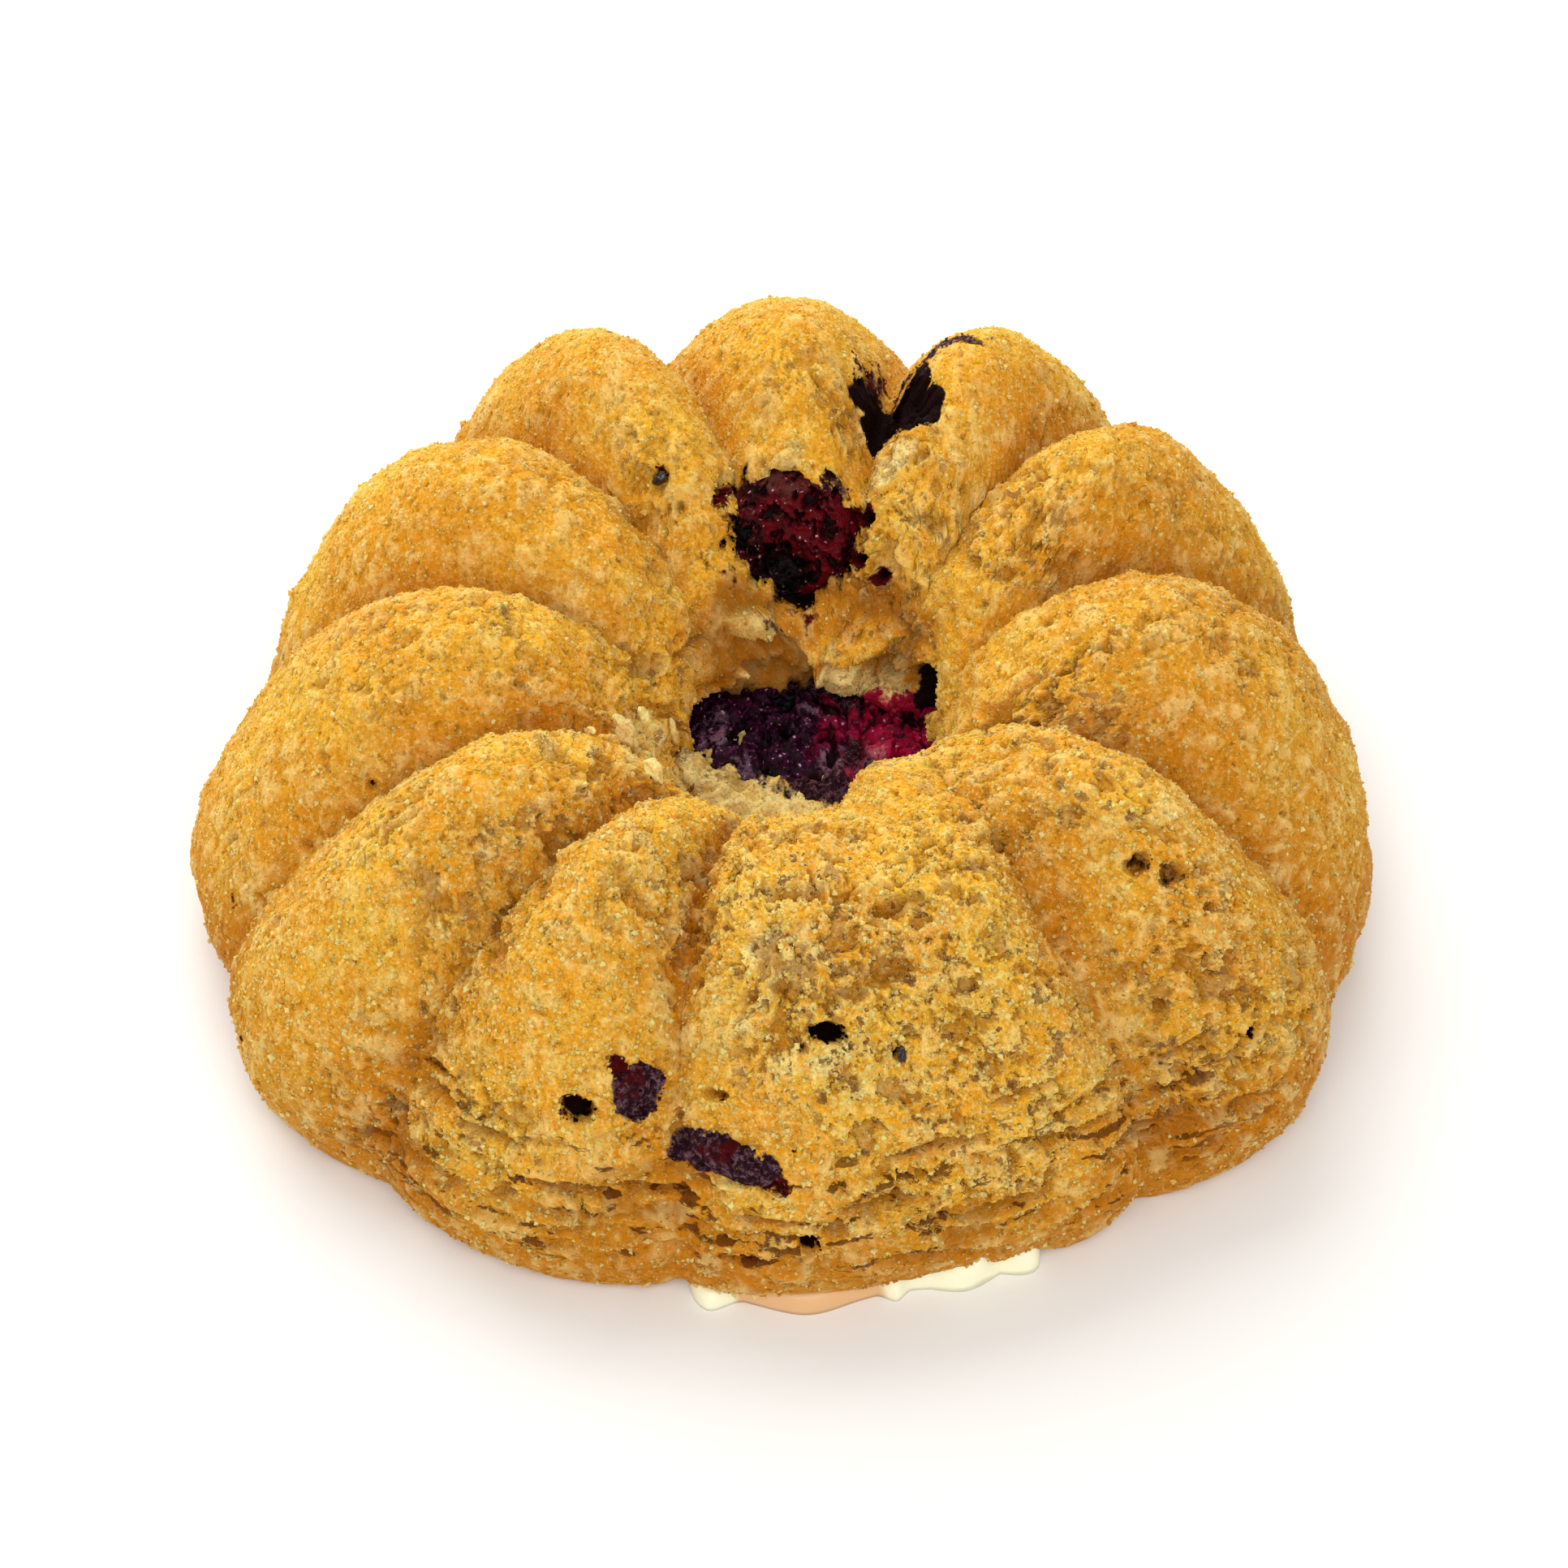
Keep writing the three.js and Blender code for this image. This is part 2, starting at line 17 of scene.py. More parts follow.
import bpy
import numpy as np
from mathutils import Euler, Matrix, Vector


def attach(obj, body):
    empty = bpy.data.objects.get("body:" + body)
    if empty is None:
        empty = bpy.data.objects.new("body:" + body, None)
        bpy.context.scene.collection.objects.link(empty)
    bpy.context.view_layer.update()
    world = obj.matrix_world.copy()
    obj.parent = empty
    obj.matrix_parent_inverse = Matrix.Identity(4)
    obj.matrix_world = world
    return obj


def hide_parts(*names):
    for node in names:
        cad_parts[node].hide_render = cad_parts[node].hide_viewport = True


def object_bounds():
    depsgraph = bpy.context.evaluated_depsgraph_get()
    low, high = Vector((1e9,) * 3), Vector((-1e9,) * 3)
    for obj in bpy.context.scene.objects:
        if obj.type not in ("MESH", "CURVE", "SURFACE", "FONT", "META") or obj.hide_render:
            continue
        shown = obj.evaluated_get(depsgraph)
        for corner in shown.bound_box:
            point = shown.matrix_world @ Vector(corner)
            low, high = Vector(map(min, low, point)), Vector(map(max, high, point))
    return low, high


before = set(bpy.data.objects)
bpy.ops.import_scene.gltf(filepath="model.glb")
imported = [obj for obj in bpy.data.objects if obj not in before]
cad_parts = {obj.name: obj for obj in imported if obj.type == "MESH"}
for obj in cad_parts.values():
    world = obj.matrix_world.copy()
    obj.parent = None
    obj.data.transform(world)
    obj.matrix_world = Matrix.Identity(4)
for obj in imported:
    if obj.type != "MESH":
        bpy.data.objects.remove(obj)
CAD_LOW, CAD_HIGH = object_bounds()
MM = 0.001  # the sizes below are millimetres, and Blender's are metres
print("CAD box in mm:", [round(v / MM, 1) for v in (*CAD_LOW, *CAD_HIGH)])

# %% [markdown]
# ## Camera
#
# A camera that looks down at nearly 50 degrees shows the crown, the well and the whole front. A
# long lens from half a metre away keeps the far ribs almost as large as the near ones, as in a
# product picture. The look-at point sits a little above the middle of the picture, which leaves
# room for the shadow, and that is done by turning the camera and not by shifting its lens.

# %% Camera
LOOK_AT = Vector((0, 0, 18)) * MM
CAMERA_AWAY = 469 * MM
CAMERA_ELEVATION = 48.3  # degrees above the table
AIM_BELOW = 0.52  # degrees that the camera's axis runs below and left of the look-at point
AIM_LEFT = 0.04
LENS = 135.5  # millimetres on a 36 mm sensor


def place_camera():
    """Stands the camera on the line that leaves LOOK_AT at the elevation, towards the front."""
    rise = math.radians(CAMERA_ELEVATION)
    camera = bpy.data.objects.new("camera", bpy.data.cameras.new("camera"))
    camera.data.lens = LENS
    camera.data.sensor_width = 36
    camera.data.clip_start = 0.01
    camera.location = LOOK_AT + CAMERA_AWAY * Vector((0, -math.cos(rise), math.sin(rise)))
    tilt = math.radians(90 - CAMERA_ELEVATION - AIM_BELOW)
    camera.rotation_euler = Euler((tilt, 0, math.radians(AIM_LEFT)))
    bpy.context.scene.collection.objects.link(camera)
    bpy.context.scene.camera = camera
    return camera


camera = place_camera()
print("camera at", [round(v, 3) for v in camera.location])

# %% [markdown]
# ## Table and light
#
# The table is a plain pale sheet. The light is a white surround that fills every hollow, one broad
# window behind the left shoulder, and a weaker light from the room in front. Light from behind
# skims over the crumb, which brings out its grain, and throws a short soft shadow towards the
# front. The light from the room keeps the front of the muffin golden.

# %% Table and light
SURROUND = 0.60  # brightness of the white surround
LAMPS = {  # place in metres, width of the square lamp, watts
    "window": ((-0.22, 0.55, 0.55), 0.80, 6.3),
    "room": ((0.05, -0.60, 0.62), 0.80, 4.1),
}
TABLE_WHITE = 0.89


def lay_table():
    """One large square at height zero, nearly white and dull."""
    half = 3.0
    mesh = bpy.data.meshes.new("table")
    corners = [(-half, -half, 0), (half, -half, 0), (half, half, 0), (-half, half, 0)]
    mesh.from_pydata(corners, [], [(0, 1, 2, 3)])
    table = bpy.data.objects.new("table", mesh)
    paper = bpy.data.materials.new("white_paper")
    paper.use_nodes = True
    surface = paper.node_tree.nodes["Principled BSDF"].inputs
    surface["Base Color"].default_value = (TABLE_WHITE, TABLE_WHITE, TABLE_WHITE * 0.985, 1)
    surface["Roughness"].default_value = 0.9
    surface["Specular IOR Level"].default_value = 0.1
    mesh.materials.append(paper)
    bpy.context.scene.collection.objects.link(table)


def light_scene():
    """A white world, and square lamps that face the muffin."""
    world = bpy.data.worlds.new("surround")
    bpy.context.scene.world = world
    world.use_nodes = True
    world.node_tree.nodes["Background"].inputs["Color"].default_value = (1.0, 0.99, 0.975, 1)
    world.node_tree.nodes["Background"].inputs["Strength"].default_value = SURROUND
    for name, (place, width, watts) in LAMPS.items():
        lamp = bpy.data.lights.new(name, "AREA")
        lamp.size = width
        lamp.energy = watts
        lamp.color = (1.0, 0.985, 0.96)
        holder = bpy.data.objects.new(name, lamp)
        holder.location = place
        holder.rotation_euler = (LOOK_AT - Vector(place)).to_track_quat("-Z", "Y").to_euler()
        bpy.context.scene.collection.objects.link(holder)


lay_table()
light_scene()
bpy.context.scene.view_settings.view_transform = "Standard"
print("lamps:", ", ".join(LAMPS))

# %% [markdown]
# ## Noise
#
# Bread is uneven at every size, so nearly every step below needs noise. Two kinds are enough. The
# first is smooth: random values on a lattice, blended between its points. The second scatters
# bubbles: one centre and radius in each cell of a lattice, and every point is told how far inside
# or outside the nearest bubble it lies. Both take whole arrays of points.

# %% Noise
HASH = [np.uint32(n) for n in (374761393, 668265263, 2147483550, 40503, 1274126177)]


def lattice(cell, seed):
    """A repeatable value from -1 to 1 for each row of whole numbers: products, shifts and xors."""
    i, j, k = (cell[..., axis].astype(np.int64).astype(np.uint32) for axis in range(3))
    salt = np.uint32((int(HASH[3]) * seed) % 2**32)
    h = i * HASH[0] + j * HASH[1] + k * HASH[2]
    h = (h ^ (h >> np.uint32(13)) ^ salt) * HASH[4]
    return (h ^ (h >> np.uint32(16))) / 2147483648.0 - 1.0


def noise(points, size, seed):
    """Smooth noise from -1 to 1: the lattice values at the eight corners of a point's cell of the
    given size, weighted by how near each corner is, with the weights eased by 3t^2 - 2t^3."""
    q = points / size
    cell = np.floor(q)
    t = q - cell
    near = t * t * (3 - 2 * t)
    total = np.zeros(len(points))
    for corner in product((0, 1), repeat=3):
        weight = np.prod(np.where(corner, near, 1 - near), axis=1)
        total += weight * lattice(cell + corner, seed)
    return total


def layered_noise(points, size, seed, layers):
    """Noise with finer noise on it: each layer has half the size and about half the strength."""
    parts = [noise(points, size / 2**n, seed + n) * 0.55**n for n in range(layers)]
    return sum(parts)


def drift(points, size, seed, layers=1):
    """A smooth random shift for every point: three layered noises, one along each axis. Patterns
    are worked out at shifted points where their shapes should look torn and not round."""
    return np.stack([layered_noise(points, size, seed + n, layers) for n in range(3)], axis=1)


def bubbles(points, size, seed, share, small, large):
    """Signed distance to the nearest of some scattered bubbles, in the points' own unit, and that
    bubble's radius. Each cell of the given size holds a bubble with the given chance, at a random
    place and with a radius between small and large, at most half a cell. Inside a bubble the
    distance is negative."""
    q = points / size
    cell = np.floor(q - 0.5)
    nearest = np.full(len(points), 1e3)
    radius = np.full(len(points), small)
    for step in product((0, 1), repeat=3):
        corner = cell + step
        centre = np.stack([lattice(corner, seed + n) for n in range(3)], axis=1) * 0.5 + 0.5
        chance = lattice(corner, seed + 3) * 0.5 + 0.5
        grown = small + (large - small) * (lattice(corner, seed + 4) * 0.5 + 0.5) ** 2
        away = np.linalg.norm(corner + centre - q, axis=1) * size - grown
        away = np.where(chance < share, away, 1e3)
        closer = away < nearest
        nearest = np.where(closer, away, nearest)
        radius = np.where(closer, grown, radius)
    return nearest, radius


def ease(value, low, high):
    """0 below low, 1 above high, and 3t^2 - 2t^3 in between."""
    t = np.clip((value - low) / (high - low), 0, 1)
    return t * t * (3 - 2 * t)


def hill(distance, width):
    """1 at the middle and 0.37 at one width from it."""
    return np.exp(-((distance / width) ** 2))


def band(value, low, high, soft):
    """1 between low and high, falling off over a stretch of soft to either side."""
    return ease(value, low - soft, low + soft) * (1 - ease(value, high - soft, high + soft))


def turn_between(a, b):
    """Difference of two angles in degrees, from -180 to 180."""
    return (np.asarray(a) - b + 180.0) % 360.0 - 180.0


sample = np.random.default_rng(1).uniform(-20, 20, (20000, 3))
print("noise runs from %.2f to %.2f" % (noise(sample, 3, 2).min(), noise(sample, 3, 2).max()))

# %% [markdown]
# ## The form of the sponge
#
# The tin gives the form: a ring with a rib and a groove twelve times round. Two half sections are
# enough to describe it, one along the ridge of a rib and one along a groove, each made of quarter
# superellipses. Between them the surface blends by how far an angle is on its way from groove to
# ridge. Then come the faults of a real cake: the well stands off centre, the crown leans, and some
# ribs are fatter than others. These are the same numbers as in the solid model.
#
# A place on the surface has two parameters. The angle runs round the muffin, from 0 at the front.
# The station runs along the section: 0 to 1 over the floor of the well, 1 to 2 up its wall to the
# crown, 2 to 3 down to the belly, and 3 to 4 down the foot to the table.

# %% The form of the sponge
RIDGE = {
    "throat_r": 10.3, "crown_r": 28.0, "crown_z": 32.8, "belly_r": 46.8,
    "tuck": 2.4, "inner": 1.92, "outer": 1.62,
}
GROOVE = {
    "throat_r": 9.8, "crown_r": 23.5, "crown_z": 26.3, "belly_r": 44.6,
    "tuck": 2.4, "inner": 2.0, "outer": 1.65,
}
BELLY_Z, THROAT_Z, FLOOR_Z = 7.0, 12.5, 10.0
GROOVE_ANGLES = np.array(
    [-163.8, -137, -105.5, -71.5, -43.5, -11.5, 15, 39, 68, 107, 136, 163.6]
)
RIB_ANGLES = [-180, -150, -120, -90, -58, -27, 0, 28, 57, 89, 120, 150, 180]
RIB_SWELLS = [
    -0.015, 0.014, -0.019, -0.02, 0.045, -0.007, -0.042, -0.035, 0.052, -0.008, 0, -0.006, -0.015,
]
RIB_POWER = 0.9
FAINT_GROOVE = {"angle": 15, "width": 9, "filled": 0.75}
STRAY = {"angle": -17, "width": 16, "by": 10, "none": 2.65, "whole": 1.6}  # none, whole: stations
LEAN = (0.047, 0.15)
WELL_SHIFT, WELL_FROM, WELL_REACH = 2.2, 8.0, 26.0  # the shift fades out over the crown
SWELL_FROM, SWELL_REACH = 15.0, 20.0  # the ribs' swelling fades in outside the well
FLARES = [(-86, 15, 2.0), (88, 18, 0.5)]  # angle, width and reach of bellies that spread
FLARE_HEIGHT = 6.5


def section(shape, station):
    """Radius and height along one half section. Each stretch is a quarter of a superellipse:
    one coordinate follows sin^(2/n), the other cos^(2/n), of an angle that runs over 90 degrees."""
    quarter = np.pi / 2 * (station - np.ceil(station) + 1)
    sine, cosine = np.abs(np.sin(quarter)), np.abs(np.cos(quarter))
    stretches = [station <= 1, station <= 2, station <= 3]
    inwards = shape["crown_r"] - shape["throat_r"]
    radii = [
        shape["throat_r"] * station,
        shape["crown_r"] - inwards * cosine ** (2 / shape["inner"]),
        shape["crown_r"] + (shape["belly_r"] - shape["crown_r"]) * sine ** (2 / shape["outer"]),
    ]
    heights = [
        FLOOR_Z + (THROAT_Z - FLOOR_Z) * station**4,
        THROAT_Z + (shape["crown_z"] - THROAT_Z) * sine ** (2 / shape["inner"]),
        BELLY_Z + (shape["crown_z"] - BELLY_Z) * cosine ** (2 / shape["outer"]),
    ]
    foot_radius = shape["belly_r"] - shape["tuck"] * (1 - cosine)
    return (
        np.select(stretches, radii, foot_radius),
        np.select(stretches, heights, BELLY_Z * (1 - sine)),
    )


def rib_height(angle, station):
    """0 in a groove and 1 on a ridge: (1 - (2t - 1)^2)^power, with t the way from groove to
    groove. One groove strays sideways on its way up to the well, by a hill of the angle times a
    share of the station. One is filled in by a hill: it nearly vanished as the batter rose."""
    share = np.clip((station - STRAY["none"]) / (STRAY["whole"] - STRAY["none"]), 0, 1)
    strayed = STRAY["by"] * share * hill(turn_between(angle, STRAY["angle"]), STRAY["width"])
    wrapped = turn_between(angle + strayed, 0)
    after = np.searchsorted(GROOVE_ANGLES, wrapped, side="right") % len(GROOVE_ANGLES)
    start = GROOVE_ANGLES[after - 1]
    along = ((wrapped - start) % 360) / ((GROOVE_ANGLES[after] - start) % 360)
    height = np.maximum(0, 1 - (2 * along - 1) ** 2) ** RIB_POWER
    nearness = hill(turn_between(wrapped, FAINT_GROOVE["angle"]), FAINT_GROOVE["width"])
    return height + (1 - height) * FAINT_GROOVE["filled"] * nearness


def sponge_point(angle, station):
    """The smooth surface in millimetres: the two sections blended by rib height, bellies flared,
    well shifted, ribs swollen by their share, and heights scaled by the lean."""
    angle, station = np.broadcast_arrays(np.asarray(angle, float), np.asarray(station, float))
    groove_r, groove_z = section(GROOVE, station)
    ridge_r, ridge_z = section(RIDGE, station)
    rib = rib_height(angle, station)
    r = groove_r + (ridge_r - groove_r) * rib
    z = groove_z + (ridge_z - groove_z) * rib
    flare = sum(reach * hill(turn_between(angle, at), width) for at, width, reach in FLARES)
    r = r + np.where(station > 2, flare * hill(z - BELLY_Z, FLARE_HEIGHT), 0)
    near_well = np.clip(1 - (r - WELL_FROM) / WELL_REACH, 0, 1)
    x = r * np.sin(np.radians(angle)) + WELL_SHIFT * near_well
    y = -r * np.cos(np.radians(angle))
    lean = 1 + (LEAN[0] * x + LEAN[1] * y) / RIDGE["belly_r"]
    share = np.clip((np.hypot(x, y) - SWELL_FROM) / SWELL_REACH, 0, 1)
    swell = 1 + np.interp(turn_between(angle, 0), RIB_ANGLES, RIB_SWELLS) * share
    return np.stack([x * swell, y * swell, z * lean], axis=-1)


def surface_axes(angle, station):
    """Directions round the muffin, down the section and outwards at a place, from the differences
    between neighbouring points."""
    around = sponge_point(angle + 1, station) - sponge_point(angle - 1, station)
    down = sponge_point(angle, station + 0.01) - sponge_point(angle, station - 0.01)
    around = around / np.linalg.norm(around, axis=-1, keepdims=True)
    normal = np.cross(down, around)
    normal = normal / np.linalg.norm(normal, axis=-1, keepdims=True)
    return around, np.cross(around, normal), normal


def spot(points, angle, station, half_length, half_height):
    """Distance from a place on the surface as a share of two half sizes, one round the muffin
    and one down the section: 1 on the outline of the spot."""
    around, down, normal = surface_axes(angle, station)
    away = points - sponge_point(angle, station)
    across = np.hypot(away @ around / half_length, away @ down / half_height)
    return np.hypot(across, away @ normal / (half_length + half_height + 1.5))


crown = sponge_point(np.arange(-180, 180), 2.0)
print("the crown is %.1f to %.1f mm high" % (crown[:, 2].min(), crown[:, 2].max()))

# %% [markdown]
# ## Fruit and its hollows
#
# Each patch of fruit keeps the place and size that the solid model gives it. It has a frame of its
# own: X round the muffin, Y up the section and Z outwards. In that frame the fruit is an
# ellipsoid, and the sponge over it is missing inside a ragged outline. The fruit at the back lies
# in a groove between two steep ribs, where one outline would run up both of them in long streaks.
# So its hollow has a mouth of its own: a few round spots along the bottom of the groove.

# %% Fruit and its hollows
# The middle lies "sink" under the skin, the hollow is "depth" deep, its outline is at "open" times
# the fruit's size, uneven by "ragged", and the torn face of the fruit is "face" above the skin.
CRUST_FRUIT = {
    "rear_berry": {
        "angle": 160.2, "station": 1.93, "size": (3.5, 3.6, 3.1), "sink": 3.3, "turn": 0,
        "depth": 3.4, "open": 1.0, "ragged": 0.24, "face": -1.9,
        "mouth": [
            (159.0, 1.92, 1.9, 2.0), (160.4, 2.02, 1.4, 1.4), (157.6, 1.83, 1.4, 0.9),
            (156.0, 1.88, 1.4, 1.4),
        ],
    },
    "wall_berry": {
        "angle": -173.5, "station": 1.43, "size": (5.8, 5.5, 3.6), "sink": 3.0, "turn": 0,
        "depth": 4.2, "open": 0.92, "ragged": 0.26, "face": -0.7,
    },
    "side_berry_upper": {
        "angle": -17.2, "station": 2.52, "size": (2.3, 2.5, 1.8), "sink": 1.5, "turn": 0,
        "depth": 1.3, "open": 0.8, "ragged": 0.42, "face": 0.1,
    },
    "side_berry_lower": {
        "angle": -6.4, "station": 2.65, "size": (3.9, 1.8, 1.7), "sink": 1.4, "turn": -24,
        "depth": 1.3, "open": 0.8, "ragged": 0.42, "face": 0.1,
    },
}
WELL_FRUIT = {
    "well_berry_left": {"centre": (-1.6, 4.4, 10.6), "size": (7.0, 5.6, 3.3)},
    "well_berry_right": {"centre": (9.5, 4.6, 11.2), "size": (3.9, 4.9, 3.2)},
}
SQUEEZED = 2.8  # berries in the well filled their corners: this power makes their balls boxier


def fruit_frame(fruit):
    """Centre and axes, as columns, of a piece of fruit."""
    if "centre" in fruit:
        return np.array(fruit["centre"]), np.eye(3)
    angle, station = fruit["angle"], fruit["station"]
    around, down, normal = surface_axes(angle, station)
    turn = math.radians(fruit["turn"])
    x_axis = math.cos(turn) * around - math.sin(turn) * down
    y_axis = -math.sin(turn) * around - math.cos(turn) * down
    centre = sponge_point(angle, station) - fruit["sink"] * normal
    return centre, np.stack([x_axis, y_axis, normal], axis=1)


def across_fruit(points, fruit):
    """How far out from the fruit's middle a point of the skin lies, as a share of its half sizes:
    (|x/a|^n + |y/b|^n + |z/c|^n)^(1/n) in the fruit's frame, with z from the skin over the fruit
    and c the mean of a and b. It is 1 on the outline. n is 2, and more for squeezed fruit. Where
    the hollow has a mouth of its own, the nearest of the mouth's spots counts."""
    if "mouth" in fruit:
        return np.min([spot(points, *place) for place in fruit["mouth"]], axis=0)
    centre, axes = fruit_frame(fruit)
    a, b, _ = fruit["size"]
    x, y, z = ((points - centre) @ axes).T
    z = z - fruit.get("sink", 0)
    power = SQUEEZED if "centre" in fruit else 2
    sides = np.abs(np.stack([x / a, y / b, z / (a + b) * 2]))
    return (sides**power).sum(axis=0) ** (1 / power)


def digging_direction(fruit):
    """The way in towards the fruit: against the mean of the normals to its left and right, so
    that a hollow in a groove goes straight down between the two ribs."""
    angles = fruit["angle"] + np.array([-9.0, 9.0])
    inwards = -surface_axes(angles, fruit["station"])[2].sum(axis=0)
    return inwards / np.linalg.norm(inwards)


for name, fruit in CRUST_FRUIT.items():
    print(name, "lies at", fruit_frame(fruit)[0].round(1))

# %% [markdown]
# ## Where the crumb differs
#
# A list of places turns the even sponge into this one. Each place has an angle and a station, two
# half sizes in millimetres, round the muffin and down the section, and a strength. Holes and slits
# are cut, lumps stand out, and tints only change the colour of the crumb. Some tints are painted
# shade: the dark spots, which at the back also stand for the fruit's juice, and the brown spots on
# the dim far wall of the well.

# %% Where the crumb differs
HOLES = [  # depth in millimetres is the last number
    (-22.4, 2.58, 1.25, 1.0, 1.7), (5.6, 2.39, 1.35, 0.9, 2.6), (13.6, 2.45, 0.5, 0.5, 1.6),
    (-12.6, 2.27, 0.7, 0.45, 1.6), (2.2, 2.87, 0.8, 0.9, 2.2), (52, 2.33, 1.2, 1.0, 1.6),
    (49.6, 2.27, 1.1, 0.9, 1.6), (43.8, 2.55, 0.8, 0.7, 1.5), (1.8, 2.42, 0.45, 0.4, 1.6),
    (-8.4, 2.51, 1.2, 0.5, 1.5), (51.2, 2.71, 0.35, 0.35, 1.3), (-64.6, 2.63, 0.8, 0.6, 1.2),
    (7.2, 2.25, 0.7, 0.6, 1.2), (-1.0, 2.28, 1.0, 0.7, 1.0), (22.6, 2.35, 0.9, 0.7, 1.3),
    (53.2, 2.43, 0.5, 0.5, 1.0), (-144.8, 1.59, 0.5, 0.4, 1.2), (162.2, 1.61, 0.7, 0.7, 2.0),
    (162.2, 1.47, 0.5, 0.6, 1.8), (153.8, 1.35, 0.7, 0.5, 1.8), (23.6, 1.87, 0.8, 0.6, 0.9),
    (-144.2, 1.69, 1.0, 0.7, 0.8), (17, 2.09, 2.0, 1.0, 0.9), (14, 2.26, 1.6, 1.0, 1.0),
    (109, 1.93, 0.6, 0.5, 0.9), (-73, 2.34, 0.3, 0.3, 0.8), (4.8, 2.83, 1.0, 0.5, 1.4),
]
SLITS = [
    (-22, 2.77, 3.8, 0.5, 1.7), (-14.4, 2.75, 2.6, 0.4, 1.2), (-5.6, 2.94, 2.4, 0.5, 1.6),
    (21, 2.86, 3.4, 0.55, 1.4), (30.6, 2.73, 4.2, 0.45, 1.3), (10, 2.78, 3.0, 0.4, 1.2),
    (-31, 2.7, 3.0, 0.4, 1.2), (38, 2.82, 2.6, 0.4, 1.2), (-2, 2.8, 2.2, 0.35, 1.0),
    (16, 2.66, 3.4, 0.4, 1.1), (-123.4, 1.26, 2.0, 0.3, 1.6), (26, 2.6, 2.8, 0.35, 1.0),
    (-158.2, 1.62, 0.5, 1.4, 1.6), (-40, 2.62, 2.6, 0.4, 1.0), (45, 2.66, 2.4, 0.35, 1.0),
]
BITES = [  # hollows beside the fruit in the well
    (-156, 1.09, 2.6, 1.1, 1.4), (-131, 1.03, 2.4, 1.3, 2.2), (122, 1.12, 1.8, 2.2, 2.2),
    (-170, 1.29, 2.6, 0.6, 1.0), (150, 1.12, 3.6, 0.5, 1.2), (-148.5, 1.02, 0.8, 0.8, 2.0),
    (-164, 1.19, 0.7, 1.6, 1.0), (142, 1.24, 0.8, 1.4, 0.9),
]
LUMPS = [
    (175, 1.20, 2.4, 1.9, 2.2), (163, 1.17, 2.0, 1.7, 2.6), (-173, 1.23, 1.6, 1.2, 1.6),
    (152, 1.19, 2.0, 1.6, 1.4), (160, 1.07, 1.9, 1.1, 2.0), (146, 1.05, 1.9, 1.1, 2.0),
    (132, 1.06, 1.6, 1.1, 1.8), (-153, 1.23, 2.2, 1.1, 1.9), (-143, 1.12, 0.6, 0.5, 1.3),
    (-107, 0.66, 4.2, 2.6, 1.9), (107.2, 0.82, 2.0, 1.6, 1.2), (-174, 1.62, 1.3, 0.7, 0.7),
    (-5.6, 2.90, 3.0, 0.6, 0.6), (0.3, 1.02, 2.4, 1.4, 0.6), (-60, 0.85, 3.0, 1.6, 0.8),
]
